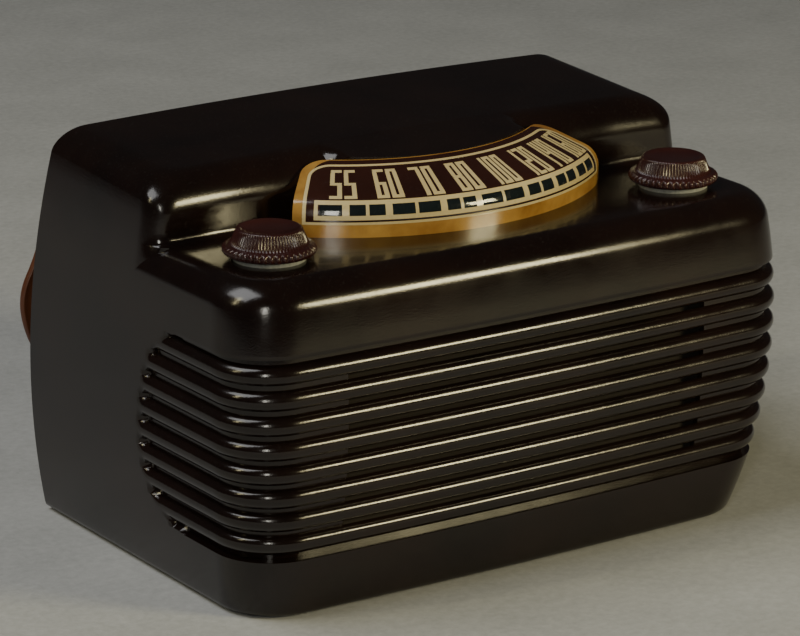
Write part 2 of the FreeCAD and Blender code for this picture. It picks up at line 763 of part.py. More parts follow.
def pointer():
    """The needle: a clip over the rail, an arm under the lens and a tip behind the scale."""
    top = number(dim.pointer_level) + 2.6 + CLEAR
    rail = number(RAIL_RADIUS)
    needle_half, thick = 0.35, 0.8
    arm = sector(rail - 4.0, number(dim.pointer_reach), top, top + thick, 0.6)
    clip = sector(rail - 4.0, rail - 2.4 - CLEAR, number(dim.pointer_level) - 1.5, top + thick, 4.0)
    bridge = sector(rail - 4.0, rail + 3.5, top, top + thick, 4.0)
    lip = sector(rail + 2.0, rail + 3.5, number(dim.pointer_level) - 1.5, top + thick, 4.0)
    tip = sector(number(dim.pointer_reach) - 1.2, number(dim.pointer_reach), top, top + 3.2, needle_half)
    item = shaped("pointer", arm.fuse([clip, bridge, lip, tip]).removeSplitter())
    turn = FreeCAD.Rotation(V(0, 0, 1), number(dim.pointer_rest))
    item.Placement = FreeCAD.Placement(V(), turn, V(0, number(DIAL_Y), 0))


def dial_lamp():
    """The pilot lamp that lights the scale from below, in a bayonet socket on a stalk."""
    x, y = LAMP_X, LAMP_Y
    top = rail_base()
    node("lamp_socket", cylinder(4.6, 12.0, (x, y, top - dim.dial_plate_thick - 12.0)))
    base = cylinder(3.0, 3.0, (x, y, top - dim.dial_plate_thick))
    bulb = doc.addObject("Part::Sphere", "Sphere")
    bulb.Radius = 4.0
    place(bulb, (x, y, top + 4.2))
    node("dial_lamp", fuse([base, bulb]))


# ---------------------------------------------------------------- controls

def knob(name, x):
    """A knob: a concave cap on a wide notched skirt."""
    cap, skirt = dim.cap_diameter / 2, dim.skirt_diameter / 2
    bore = dim.shaft_diameter / 2 + 0.01
    bore_depth = dim.knob_height - 4.0
    dish = 1.2
    profile = [(bore, 0.0), (skirt - 1.6, 0.0), (skirt, 1.6), (skirt - 0.4, dim.skirt_height - 1.2),
               (cap + 1.2, dim.skirt_height), (cap + 0.2, dim.knob_height - 1.2),
               (cap - 1.0, dim.knob_height), (cap - 3.0, dim.knob_height),
               (0.0, dim.knob_height - dish), (0.0, bore_depth), (bore, bore_depth)]
    owner = turned(name, profile, (x, KNOB_Y, dim.shelf_height + dim.knob_lift))
    notch = sketch_on(owner, "XY_Plane")
    circle(notch, 0.8, skirt, 0.0)
    doc.recompute()
    plain = owner.Shape.Volume
    groove = pocket(owner, notch, dim.skirt_height, reverse=True)
    pattern = owner.newObject("PartDesign::PolarPattern", "PolarPattern")
    pattern.Originals = [groove]
    pattern.Axis = (origin_feature(owner, "Z_Axis"), [""])
    pattern.Angle = 360.0
    bind(pattern, "Occurrences", int(number(dim.knob_notches)))
    owner.Tip = pattern
    doc.recompute()
    if owner.Shape.Volume >= plain:
        raise ValueError("the knob's notches cut nothing")


def shaft(name, x, low):
    """A control shaft up into its knob; it ends just short of the bore's end."""
    top = dim.shelf_height + dim.knob_lift + dim.knob_height - 4.0 - 0.5
    node(name, cylinder(dim.shaft_diameter / 2, top - low, (x, KNOB_Y, low)))


def felt(name, x):
    """The felt washer under a knob."""
    ring = cylinder(dim.felt_diameter / 2, dim.felt_thick, (x, KNOB_Y, dim.shelf_height))
    hole = cylinder(dim.shaft_hole / 2, dim.felt_thick + 2.0, (x, KNOB_Y, dim.shelf_height - 1.0))
    node(name, cut(ring, hole))


def bracket(name, x):
    """A sheet-metal angle on the chassis front that holds a control below the shelf."""
    front = KNOB_Y - 14.0
    owner = body(name)
    sketch = sketch_on(owner, "YZ_Plane", -(dim.bracket_width / 2))
    low = DECK - 26.0
    polygon(sketch, [(front, dim.bracket_height), (CHASSIS_Y - dim.bracket_thick, dim.bracket_height),
                     (CHASSIS_Y - dim.bracket_thick, low), (CHASSIS_Y, low),
                     (CHASSIS_Y, dim.bracket_height + dim.bracket_thick),
                     (front, dim.bracket_height + dim.bracket_thick)])
    pad(owner, sketch, dim.bracket_width)
    hole = sketch_on(owner, "XY_Plane", dim.bracket_height)
    circle(hole, dim.bush_diameter / 2, 0.0, KNOB_Y)
    pocket(owner, hole, dim.bracket_thick + 4.0, reverse=True)
    place(owner, (x, 0.0, 0.0))


def bushing(name, x, low):
    """A threaded bush through the bracket, with its nut."""
    bore = dim.shaft_diameter / 2 + dim.shaft_play
    outer = dim.bush_diameter / 2 - 0.05
    nut = dim.bush_diameter / 2 + 2.5
    top = dim.bracket_height + dim.bracket_thick
    profile = [(bore, low), (nut, low), (nut, dim.bracket_height), (outer, dim.bracket_height),
               (outer, top), (nut, top), (nut, top + 2.0), (bore, top + 2.0)]
    turned(name, profile, (x, KNOB_Y, 0.0))


def volume_control():
    """The potentiometer's can, below the bracket; its shaft turns inside it."""
    bore = dim.shaft_diameter / 2 + dim.shaft_play
    can = dim.pot_diameter / 2
    top, low = dim.bracket_height - 2.0, dim.bracket_height - 2.0 - dim.pot_height
    profile = [(0.0, low), (can, low), (can, top), (bore, top), (bore, low + 1.5), (0.0, low + 1.5)]
    turned("volume_control", profile, (-KNOB_X, KNOB_Y, 0.0))
    shaft("volume_shaft", -KNOB_X, low + 2.0)
    bushing("volume_bushing", -KNOB_X, dim.bracket_height - 2.0)


def tuning_control():
    shaft("tuning_shaft", KNOB_X, dim.bracket_height - 10.0)
    bushing("tuning_bushing", KNOB_X, dim.bracket_height - 3.0)


def tuning_drum():
    """Both cord drums on one hub: the lower for the knob's cord, the upper for the pointer's."""
    bore = dim.shaft_diameter / 2 + 0.01
    hub = dim.shaft_diameter / 2 + 4.0
    rim = dim.drum_radius
    half = dim.drum_thick / 2
    deep, slot = dim.cord_thick + 0.2, dim.cord_thick / 2 + 0.25
    profile = [(bore, dim.drive_level - half)]
    for level in (dim.drive_level, dim.pointer_level):
        profile += [(rim, level - half), (rim, level - slot), (rim - deep, level - slot),
                    (rim - deep, level + slot), (rim, level + slot), (rim, level + half)]
        if level is dim.drive_level:
            profile += [(hub, level + half), (hub, dim.pointer_level - half)]
    profile.append((bore, dim.pointer_level + half))
    turned("tuning_drum", profile, (DRUM_X, DRUM_Y, 0.0))


def tuning_capacitor():
    """The gang: a frame of two plates and posts, fixed plates, and plates on the shaft."""
    side, plate = dim.gang_width, dim.gang_plate
    x, y = DRUM_X, DRUM_Y
    low = DECK + 2.0
    hole_radius = dim.shaft_diameter / 2 + dim.shaft_play
    ends = []
    for level in (low, low + dim.gang_height - plate):
        sheet = box(side, side, plate, (x, y, level))
        ends.append(cut(sheet, cylinder(hole_radius, plate + 2.0, (x, y, level - 1.0))))
    post = 5.0
    corner = side / 2 - post / 2
    posts = [box(post, post, dim.gang_height, (x + corner * sx, y + corner * sy, low))
             for sx in (-1, 1) for sy in (-1, 1)]
    foot = box(side, side, 2.0 + 0.2, (x, y, DECK))
    foot_hole = cylinder(hole_radius + 3.0, 6.0, (x, y, DECK - 1.0))
    node("capacitor_frame", fuse(ends + posts + [cut(foot, foot_hole)]))
    first, step, thick = low + 8.0, 3.0, 0.8
    fixed, moving = [], []
    count = 14
    room = side / 2 - 6.5
    for k in range(count):
        level = first + step * k
        half_plate = cylinder(room, thick, (x, y, level))
        clear = cylinder(6.0, thick + 2.0, (x, y, level - 1.0))
        away = box(side, side, thick + 2.0, (x, y - dim.gang_width / 2, level - 1.0))
        fixed.append(cut(cut(half_plate, clear), away))
        wing = cylinder(room - 1.0, thick, (x, y, level + step / 2))
        rear_half = box(side, side, thick + 2.0, (x, y + dim.gang_width / 2 + 0.5, level + 0.5))
        moving.append(cut(wing, rear_half))
    stay = box(6.0, 2.0, step * (count - 1) + thick, (x, y + room + CLEAR, first))
    node("capacitor_stator", fuse(fixed + [stay]))
    spindle = cylinder(dim.shaft_diameter / 2, dim.pointer_level + dim.drum_thick / 2 + 1.0 - low,
                       (x, y, low))
    node("capacitor_rotor", fuse(moving + [spindle]))


# ---------------------------------------------------------------- chassis

def tube_places():
    rear = [(dim.tube_first + dim.tube_pitch * k, dim.tube_row) for k in range(4)]
    return rear + [(dim.tube_first, dim.front_row)]


def chassis():
    owner = body("chassis")
    deck = sketch_on(owner, "XY_Plane")
    middle = CHASSIS_Y + dim.chassis_depth / 2
    rectangle(deck, dim.chassis_width, dim.chassis_depth, 0.0, middle)
    pad(owner, deck, dim.chassis_height)
    room = sketch_on(owner, "XY_Plane")
    thin = dim.chassis_thick * 2
    rectangle(room, dim.chassis_width - thin, dim.chassis_depth - thin, 0.0, middle)
    pocket(owner, room, dim.chassis_height - dim.chassis_thick, reverse=True)
    holes = sketch_on(owner, "XY_Plane", dim.chassis_height + 1.0)
    for x, y in tube_places():
        circle(holes, dim.base_diameter / 2 - 2.0, x, y)
    pocket(owner, holes, dim.chassis_thick + 2.0)
    place(owner, (0.0, 0.0, CHASSIS_Z))
    flanges = []
    for x, y in chassis_pillars():
        tab = box(14.0, 14.0, 1.2, (x, y, CHASSIS_Z))
        flanges.append(cut(tab, cylinder(2.2, 4.0, (x, y, CHASSIS_Z - 1.0))))
    node("chassis_tabs", group(flanges))
    bolts = []
    for x, y in chassis_pillars():
        shank = cylinder(2.0, number(CHASSIS_Z) + 4.0 - number(dim.rim_gap), (x, y, dim.rim_gap))
        nut = cylinder(3.6, 2.4, (x, y, CHASSIS_Z + 1.2))
        bolts.append(fuse([shank, nut]))
    node("chassis_bolts", group(bolts))


def tube(name, x, y, glass_height, metal):
    """A valve: a moulded octal base and a domed glass or metal envelope."""
    low = DECK + dim.socket_thick
    base, glass = dim.base_diameter / 2, dim.glass_diameter / 2
    top = low + dim.base_height + glass_height
    neck = 3.0 if metal else 6.0
    profile = [(0.0, low), (base, low), (base, low + dim.base_height), (glass, low + dim.base_height),
               (glass, top - neck), (glass - 2.0, top - neck / 3), (glass - neck, top), (0.0, top)]
    turned(name, profile, (x, y, 0.0))


def tubes():
    tall = dim.tube_height - dim.base_height
    names = (("rectifier_tube", tall, False), ("output_tube", tall, False),
             ("detector_tube", tall - 6.0, True), ("amplifier_tube", tall - 6.0, True),
             ("converter_tube", tall - 6.0, True))
    sockets = []
    for (name, height, metal), (x, y) in zip(names, tube_places()):
        tube(name, x, y, height, metal)
        sockets.append(cylinder(dim.socket_diameter / 2, dim.socket_thick, (x, y, DECK)))
    node("tube_sockets", group(sockets))


def cans():
    """The two intermediate-frequency cans, the filter capacitor and the oscillator coil."""
    places = (("first_if_can", dim.tube_first + 39.0), ("second_if_can", dim.tube_first + 78.0))
    for name, x in places:
        owner = body(name)
        outline = sketch_on(owner, "XY_Plane")
        rectangle(outline, dim.can_side, dim.can_side)
        can = pad(owner, outline, dim.can_height)
        rim = owner.newObject("PartDesign::Fillet", "Fillet")
        edges = ["Edge%d" % (k + 1) for k, e in enumerate(can.Shape.Edges)
                 if e.BoundBox.ZLength > number(dim.can_height) - 1.0]
        rim.Base = (can, edges)
        rim.Radius = 4.0
        place(owner, (x, dim.front_row, DECK))
    node("filter_capacitor", cylinder(dim.filter_diameter / 2, dim.filter_height,
                                      (dim.tube_first + 112.0, dim.front_row, DECK)))
    under = DECK - dim.chassis_thick
    node("oscillator_coil", cylinder(7.0, 26.0, (DRUM_X, dim.front_row, under - 26.0)))


def underside():
    """The small parts wired under the deck."""
    level = DECK - dim.chassis_thick - 12.0
    rolls = [cylinder(5.0, 28.0, (dim.tube_first + 22.0 + 34.0 * k, dim.tube_row - 20.0, level),
                      (1, 0, 0), -90) for k in range(4)]
    node("paper_capacitors", group(rolls))
    beads = [cylinder(2.2, 12.0, (dim.tube_first + 14.0 + 26.0 * k, dim.front_row - 8.0, level + 4.0),
                      (0, 1, 0), 90) for k in range(6)]
    node("resistors", group(beads))


# ---------------------------------------------------------------- speaker

def speaker():
    y, z = BAFFLE_Y, dim.speaker_height
    board = box(dim.baffle_width, dim.baffle_thick, dim.baffle_height,
                (0.0, y + dim.baffle_thick / 2, z - dim.baffle_height / 2))
    opening = cylinder(dim.cone_diameter / 2, dim.baffle_thick + 2.0, (0.0, y - 1.0, z), (1, 0, 0), -90)
    holes = [cylinder(1.7, dim.baffle_thick + 2.0, (x, y - 1.0, hz), (1, 0, 0), -90)
             for x, hz in baffle_bosses()]
    node("baffle_board", cut(board, fuse([opening] + holes)))
    cloth = box(dim.slot_length + 10.0, dim.cloth_thick, dim.baffle_height - 18.0,
                (0.0, y - dim.cloth_thick / 2, z - dim.baffle_height / 2 + 9.0))
    node("grille_cloth", cloth)
    back = y + dim.baffle_thick
    rim, coil = dim.speaker_diameter / 2, dim.coil_diameter / 2
    sheet = 1.2
    frame = turned("speaker_basket",
                   [(dim.cone_diameter / 2 + 1.0, 0.0), (rim, 0.0), (rim, sheet),
                    (rim - 5.0, sheet * 2), (coil + 9.0, dim.speaker_depth), (coil + 1.0, dim.speaker_depth),
                    (coil + 1.0, dim.speaker_depth - sheet), (coil + 8.0, dim.speaker_depth - sheet),
                    (rim - 7.0, sheet)], (0.0, 0.0, 0.0))
    place(frame, (0.0, back, z), (1, 0, 0), -90)
    wide = dim.cone_diameter / 2
    cone_piece = turned("speaker_cone",
                        [(wide + 0.6, 0.2), (wide + 0.6, 1.0), (wide - 4.0, 1.2),
                         (coil - 1.0, dim.speaker_depth - 3.4), (coil - 1.0, dim.speaker_depth + 4.0),
                         (coil - 1.8, dim.speaker_depth + 4.0), (coil - 1.8, dim.speaker_depth - 4.2),
                         (wide - 4.4, 0.2)], (0.0, 0.0, 0.0))
    place(cone_piece, (0.0, back, z), (1, 0, 0), -90)
    pot_outer = dim.magnet_diameter / 2
    magnet = turned("speaker_magnet",
                    [(0.0, dim.speaker_depth + dim.magnet_length - 3.0),
                     (0.0, dim.speaker_depth + dim.magnet_length),
                     (pot_outer, dim.speaker_depth + dim.magnet_length), (pot_outer, dim.speaker_depth),
                     (coil + 0.4, dim.speaker_depth), (coil + 0.4, dim.speaker_depth + 6.0),
                     (pot_outer - 4.0, dim.speaker_depth + 6.0),
                     (pot_outer - 4.0, dim.speaker_depth + dim.magnet_length - 3.0)], (0.0, 0.0, 0.0))
    place(magnet, (0.0, back, z), (1, 0, 0), -90)
    screws = []
    for x, hz in baffle_bosses():
        shank = cylinder(1.2, dim.baffle_thick + SCREW_BITE, (x, y - SCREW_BITE, hz), (1, 0, 0), -90)
        head = cylinder(3.0, 1.6, (x, back, hz), (1, 0, 0), -90)
        screws.append(fuse([shank, head]))
    node("baffle_screws", group(screws))
    node("output_transformer", box(26.0, 22.0, 24.0, (-(rim + 20.0), back + 11.0 + 0.5, z - 30.0)))


# ---------------------------------------------------------------- back cover

def back_outline(play):
    """The cavity's own shape, a little smaller, for what fits inside the rear opening."""
    return envelope(number(dim.wall) + play, number(FLOOR) + play)


def vents():
    """Rows of round holes: three across the top, one low down."""
    pitch = number(dim.vent_pitch)
    columns = int((number(dim.cab_width) - 70.0) / pitch / 2)
    top = number(dim.cab_height) - 34.0
    rows = [top, top - pitch, top - 2 * pitch, number(FLOOR) + 2.2 * pitch]
    return [(k * pitch, z) for z in rows for k in range(-columns, columns + 1)]


def back_cover():
    near = number(dim.cover_inset)
    far = near + number(dim.cover_thick)
    plate = back_outline(number(dim.cover_play)).common(rear_slice(near, far))
    clear = number(dim.relief_diameter) / 2 + 8.0
    exit_x, exit_z = number(dim.cord_exit_x), number(dim.cord_exit_z)
    holes = [across_back(x, z, number(dim.vent_diameter) / 2, near - 2.0, far + 2.0)
             for x, z in vents() if math.hypot(x - exit_x, z - exit_z) > clear]
    holes += [across_back(x, z, number(dim.screw_diameter) / 2 + 0.2, near - 2.0, far + 2.0)
              for x, z in lug_places()]
    relief = Part.makeCylinder(number(dim.relief_diameter) / 2 - 1.5 + 0.05, FAR, V(exit_x, -10.0, exit_z),
                               V(0, 1, 0))
    shaped("back_cover", plate.cut(holes + [relief]))
    screws = []
    for x, z in lug_places():
        shank = across_back(x, z, 1.2, near, far + 6.0)
        head = across_back(x, z, number(dim.screw_head) / 2, near - 2.0, near)
        screws.append(shank.fuse(head))
    shaped("back_screws", Part.makeCompound(screws))


def loop_antenna():
    """The flat aerial winding on the inside of the cover, clear of the lugs and the tubes."""
    near = number(dim.cover_inset) + number(dim.cover_thick)
    layer = rear_slice(near, near + number(dim.loop_thick))
    half = 78.0
    low, high = number(FLOOR) + 22.0, number(dim.shelf_height) - 18.0
    band = number(dim.loop_band)
    frame = Part.makeBox(2 * half, FAR, high - low, V(-half, -FAR / 2, low))
    window = Part.makeBox(2 * (half - band), FAR, high - low - 2 * band,
                          V(-(half - band), -FAR / 2, low + band))
    shaped("loop_antenna", frame.cut(window).common(layer))


# ---------------------------------------------------------------- mains cord

def relief_start():
    """The cover's outer face where the cord leaves it."""
    lean = math.tan(math.radians(number(dim.rear_lean)))
    return number(REAR) - lean * number(dim.cord_exit_z) - number(dim.cover_inset) + 0.8


def strain_relief():
    """A tapered sleeve clamped in the cover, flanged on both faces."""
    radius = number(dim.relief_diameter) / 2
    x, z = number(dim.cord_exit_x), number(dim.cord_exit_z)
    y = relief_start()
    thick = number(dim.cover_thick) + 2.2
    neck = Part.makeCylinder(radius - 1.5, thick + 4.0, V(x, y - thick - 2.0, z), V(0, 1, 0))
    outer = Part.makeCone(radius, number(dim.cord_diameter) / 2 + 0.9, number(dim.relief_length),
                          V(x, y, z), V(0, 1, 0))
    inner = Part.makeCylinder(radius, 2.0, V(x, y - thick - 2.0, z), V(0, 1, 0))
    shaped("strain_relief", neck.fuse([outer, inner]).removeSplitter())


# Hand-chosen points of the cord's route, from the end of the strain relief to its coil
CORD_ROUTE = [
    (-96.0, 0.0, 130.0), (-96.0, 15.0, 130.0), (-95.5, 26.5, 120.5), (-95.0, 29.0, 105.7),
    (-98.5, 30.5, 91.5), (-105.5, 31.0, 78.0), (-103.0, 31.5, 63.0), (-94.5, 34.5, 49.0),
    (-84.0, 41.0, 33.0), (-69.5, 51.5, 16.5), (-48.0, 64.0, 4.8), (-22.0, 75.0, 4.0),
]


def cord_points():
    """The route with its start moved to the relief's end and its end to the coil's edge."""
    start = relief_start() + number(dim.relief_length)
    return [V(x, start + y, z) for x, y, z in CORD_ROUTE]


def rounded_path(points):
    """Straight runs joined by tangent arcs, each as large as its two runs allow."""
    share = 0.45
    edges, at = [], points[0]
    for before, corner, after in zip(points, points[1:], points[2:]):
        into, out = (corner - before), (after - corner)
        turn = into.getAngle(out)
        reach = share * min(into.Length, out.Length)
        radius = reach / math.tan(turn / 2)
        print("cord radius %.1f" % radius)
        into.normalize()
        out.normalize()
        start, end = corner - into * reach, corner + out * reach
        bisector = out - into
        bisector.normalize()
        middle = corner + bisector * (radius / math.cos(turn / 2) - radius)
        edges += [Part.LineSegment(at, start).toShape(), Part.Arc(start, middle, end).toShape()]
        at = end
    edges.append(Part.LineSegment(at, points[-1]).toShape())
    return Part.Wire(edges)


def power_cord():
    points = cord_points()
    path = rounded_path(points)
    radius = number(dim.cord_diameter) / 2
    ring = Part.Wire(Part.makeCircle(radius, points[0], points[1] - points[0]))
    tube_shape = path.makePipeShell([ring], True, False)
    expected = math.pi * radius ** 2 * path.Length
    print("cord length %.0f, volume over expected %.4f" % (path.Length, tube_shape.Volume / expected))
    shaped("power_cord", tube_shape)


def coil_and_plug():
    """The rest of the cord wound into a ring behind the set, with the plug beside it."""
    x, y = dim.coil_x, dim.coil_y
    outer = dim.coil_turn_diameter / 2 + dim.coil_band / 2
    inner = dim.coil_turn_diameter / 2 - dim.coil_band / 2
    ring = cut(cylinder(outer, dim.coil_tall, (x, y, 0.0)),
               cylinder(inner, dim.coil_tall + 2.0, (x, y, -1.0)))
    node("power_cord_coil", ring)
    plug_y = y
    plug_x = x + outer
    shell = box(dim.plug_length, dim.plug_width, dim.plug_thick,
                (plug_x + dim.plug_length / 2, plug_y, 0.0))
    node("plug_body", shell)
    blades = [box(dim.blade_length, dim.blade_thick, dim.blade_width,
                  (plug_x + dim.plug_length + dim.blade_length / 2, plug_y + dim.blade_spacing * s / 2,
                   dim.plug_thick / 2 - dim.blade_width / 2)) for s in (-1, 1)]
    node("plug_blades", group(blades))


# ---------------------------------------------------------------- assembly

def build():
    cabinet()
    feet()
    dial_lens()
    dial_scale()
    dial_plate()
    dial_cords()
    idlers()
    pointer()
    dial_lamp()
    for name, x in (("volume_knob", -KNOB_X), ("tuning_knob", KNOB_X)):
        knob(name, x)
    felt("volume_felt", -KNOB_X)
    felt("tuning_felt", KNOB_X)
    bracket("volume_bracket", -KNOB_X)
    bracket("tuning_bracket", KNOB_X)
    volume_control()
    tuning_control()
    tuning_drum()
    tuning_capacitor()
    chassis()
    tubes()
    cans()
    underside()
    speaker()
    back_cover()
    loop_antenna()
    strain_relief()
    power_cord()
    coil_and_plug()


def check():
    doc.recompute()
    for item in doc.Objects:
        if "Invalid" in item.State or "Error" in item.State:
            raise ValueError("%s failed: %s" % (item.Label, item.State))
    unsound = [name for name, item in NODES.items() if not sound(item.Shape)]
    if unsound:
        raise ValueError("no sound shape: " + ", ".join(unsound))


def sound(shape):
    return not shape.isNull() and shape.isValid() and shape.Volume > 0


def write():
    os.makedirs("parts", exist_ok=True)
    for name, item in NODES.items():
        item.Shape.exportStep("parts/%s.step" % name)
    print("%d parts written" % len(NODES))


build()
check()
write()
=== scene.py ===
import json
import math

import bmesh
import bpy
import numpy as np
from mathutils import Matrix, Vector


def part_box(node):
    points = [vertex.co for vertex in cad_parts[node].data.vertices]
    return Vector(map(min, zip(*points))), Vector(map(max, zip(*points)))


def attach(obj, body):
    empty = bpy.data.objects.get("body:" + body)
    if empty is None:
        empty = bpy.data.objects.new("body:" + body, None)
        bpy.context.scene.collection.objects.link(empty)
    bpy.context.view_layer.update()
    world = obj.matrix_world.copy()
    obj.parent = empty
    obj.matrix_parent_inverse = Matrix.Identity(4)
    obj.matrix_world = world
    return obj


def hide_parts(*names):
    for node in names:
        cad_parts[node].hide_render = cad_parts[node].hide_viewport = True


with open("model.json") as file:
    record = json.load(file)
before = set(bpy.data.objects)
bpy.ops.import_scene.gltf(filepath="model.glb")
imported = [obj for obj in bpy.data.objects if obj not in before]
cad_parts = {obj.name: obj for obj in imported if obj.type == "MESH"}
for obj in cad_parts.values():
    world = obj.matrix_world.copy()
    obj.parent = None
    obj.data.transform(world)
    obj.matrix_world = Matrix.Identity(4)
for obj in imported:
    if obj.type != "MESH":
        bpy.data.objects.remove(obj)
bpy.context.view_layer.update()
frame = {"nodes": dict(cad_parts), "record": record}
MM = 0.001
BODY = "radio"

# Cabinet, in millimetres, as in the part
HALF_WIDTH, SIDE_ROUND, SIDE_MID = 127.0, 347.0, 85.0
FRONT, FRONT_ROUND, FRONT_MID, FRONT_BOW = -84.5, 245.0, 80.0, 2600.0
CORNER, SHELF, SHELF_EDGE, RIM = 23.8, 131.5, 10.0, 1.0
TOP, SLAB_SLOPE, SLAB_EDGE, SIDE_ROLL, CROWN = 161.0, math.tan(math.radians(2.86)), 13.0, 8.5, 2.0
REAR, REAR_LEAN = 84.5, math.tan(math.radians(6.56))
BROW, BROW_CORNER, BROW_FLARE = -10.5, 9.0, 3.0
WALL = 4.2
RIB_TOP, RIB_PITCH, RIB_COUNT, RIB_ROUND, VALLEY_DEPTH = 98.6, 9.55, 8, 3.9, 3.4
SLOT_HALF_HEIGHT, SLOT_HALF_LENGTH = 1.0, 82.0

# Dial lens: radii from its centre, and heights
DIAL_Y, LENS_INNER, LENS_OUTER, LENS_HALF_ANGLE = 51.0, 79.0, 104.0, 43.0
LENS_TOP, LENS_SLOPE, LENS_ROUND, LENS_WALL = 154.8, math.radians(22.8), 9.0, 2.4

# Controls and cord
KNOB_X, KNOB_Y, KNOB_BASE = 93.0, -44.0, 133.5
CORD_WIDTH, CORD_THICK, CORD_LENGTH = 6.0, 3.6, 1.8
COIL_CENTRE = (20.0, 150.0)
EXIT_Y = 87.35


# ---------------------------------------------------------------- camera and light

def aim(item, backwards, upwards):
    """Turn an object so that its -Z looks along -backwards and its Y follows upwards."""
    back = Vector(backwards).normalized()
    side = Vector(upwards).cross(back).normalized()
    item.rotation_euler = Matrix((side, back.cross(side), back)).transposed().to_euler()


def make_camera():
    data = bpy.data.cameras.new("camera")
    data.sensor_width = 36.0
    data.lens = 179.85
    camera = bpy.data.objects.new("camera", data)
    bpy.context.scene.collection.objects.link(camera)
    camera.location = (-0.84145, -1.22495, 0.54311)
    aim(camera, (-0.53845, -0.78869, 0.29671), (0.16196, 0.24868, 0.95495))
    bpy.context.scene.camera = camera


def make_light(name, direction, distance, size, power, colour):
    data = bpy.data.lights.new(name, "AREA")
    data.shape = "RECTANGLE"
    data.size, data.size_y = size
    data.energy = power
    data.color = colour
    light = bpy.data.objects.new(name, data)
    bpy.context.scene.collection.objects.link(light)
    along = Vector(direction).normalized()
    light.location = along * distance + Vector((0, 0, 0.08))
    aim(light, along, (0, 0, 1) if abs(along.z) < 0.95 else (0, 1, 0))


def make_lights():
    warm, cool = (1.0, 0.88, 0.50), (1.0, 0.97, 0.86)
    make_light("warm_box", (0.46, -0.79, 0.31), 1.5, (0.34, 0.30), 12.0, warm)
    make_light("warm_side", (-0.80, 0.02, 0.60), 1.4, (0.07, 0.55), 2.0, warm)
    make_light("front_key", (-0.60, -0.78, 0.36), 1.7, (0.16, 0.60), 5.0, cool)
    make_light("overhead", (-0.50, 0.10, 0.85), 2.4, (1.5, 1.3), 25.0, (1.0, 1.0, 1.0))
    world = bpy.data.worlds.new("studio")
    world.use_nodes = True
    background = world.node_tree.nodes["Background"]
    background.inputs["Color"].default_value = (0.60, 0.62, 0.65, 1)
    background.inputs["Strength"].default_value = 0.035
    bpy.context.scene.world = world


# ---------------------------------------------------------------- materials

def rgba(colour):
    return (*colour, 1.0)


class Shader:
    """A Principled material and the few node groups that these finishes share."""

    def __init__(self, name, **constants):
        self.material = bpy.data.materials.new(name)
        self.material.use_nodes = True
        self.tree = self.material.node_tree
        self.surface = self.tree.nodes["Principled BSDF"]
        for socket, value in constants.items():
            self.surface.inputs[socket.replace("_", " ")].default_value = value
        self.place = self.tree.nodes.new("ShaderNodeTexCoord").outputs["Object"]

    def node(self, kind, **inputs):
        item = self.tree.nodes.new("ShaderNode" + kind)
        for socket, value in inputs.items():
            self.put(value, item.inputs[socket.replace("_", " ")])
        return item

    def put(self, value, socket):
        if isinstance(value, bpy.types.NodeSocket):
            self.tree.links.new(value, socket)
        else:
            socket.default_value = value

    def stretched(self, scale):
        return self.node("Mapping", Vector=self.place, Scale=scale).outputs["Vector"]

    def noise(self, scale, detail=3.0, stretch=(1, 1, 1), rough=0.55):
        where = self.stretched(stretch) if stretch != (1, 1, 1) else self.place
        item = self.node("TexNoise", Vector=where, Scale=scale, Detail=detail, Roughness=rough)
        return item.outputs["Fac"]

    def wave(self, scale, direction, distortion=0.0):
        item = self.node("TexWave", Vector=self.place, Scale=scale, Distortion=distortion)
        item.bands_direction = direction
        return item.outputs["Fac"]

    def spread(self, value, low, high, start=0.3, end=0.7):
        item = self.node("MapRange", Value=value, From_Min=start, From_Max=end, To_Min=low, To_Max=high)
        return item.outputs["Result"]

    def blend(self, factor, first, second):
        item = self.tree.nodes.new("ShaderNodeMix")
        item.data_type = "RGBA"
        self.put(factor, item.inputs["Factor"])
        self.put(first, item.inputs[6])
        self.put(second, item.inputs[7])
        return item.outputs[2]

    def maths(self, operation, first, second):
        item = self.tree.nodes.new("ShaderNodeMath")
        item.operation = operation
        self.put(first, item.inputs[0])
        self.put(second, item.inputs[1])
        return item.outputs[0]

    def bump(self, height, distance, strength=1.0):
        item = self.node("Bump", Height=height, Distance=distance, Strength=strength)
        self.put(item.outputs["Normal"], self.surface.inputs["Normal"])
        return item

    def colour(self, value):
        self.put(value, self.surface.inputs["Base Color"])

    def roughness(self, value):
        self.put(value, self.surface.inputs["Roughness"])


def moulded(name, dark, light, rough, coat=0.0, grain=0.00003, mottle=22.0, **extra):
    """Moulded phenolic or plastic: faint marbling, fine dust and a slightly wavy gloss."""
    shader = Shader(name, Coat_Weight=coat, Coat_Roughness=0.06, **extra)
    cloudy = shader.spread(shader.noise(mottle, 5.0), 0.0, 1.0)
    dust = shader.spread(shader.noise(900.0, 2.0), 0.0, 0.35, 0.60, 0.80)
    base = shader.blend(cloudy, rgba(dark), rgba(light))
    grey = tuple(0.5 * c + 0.03 for c in light)
    shader.colour(shader.blend(dust, base, rgba(grey)))
    shader.roughness(shader.spread(shader.noise(60.0, 4.0), rough[0], rough[1]))
    waves = shader.maths("MULTIPLY", shader.noise(35.0, 2.0), 2.0)
    shader.bump(shader.maths("ADD", waves, shader.noise(1400.0, 2.0)), grain)
    return shader.material


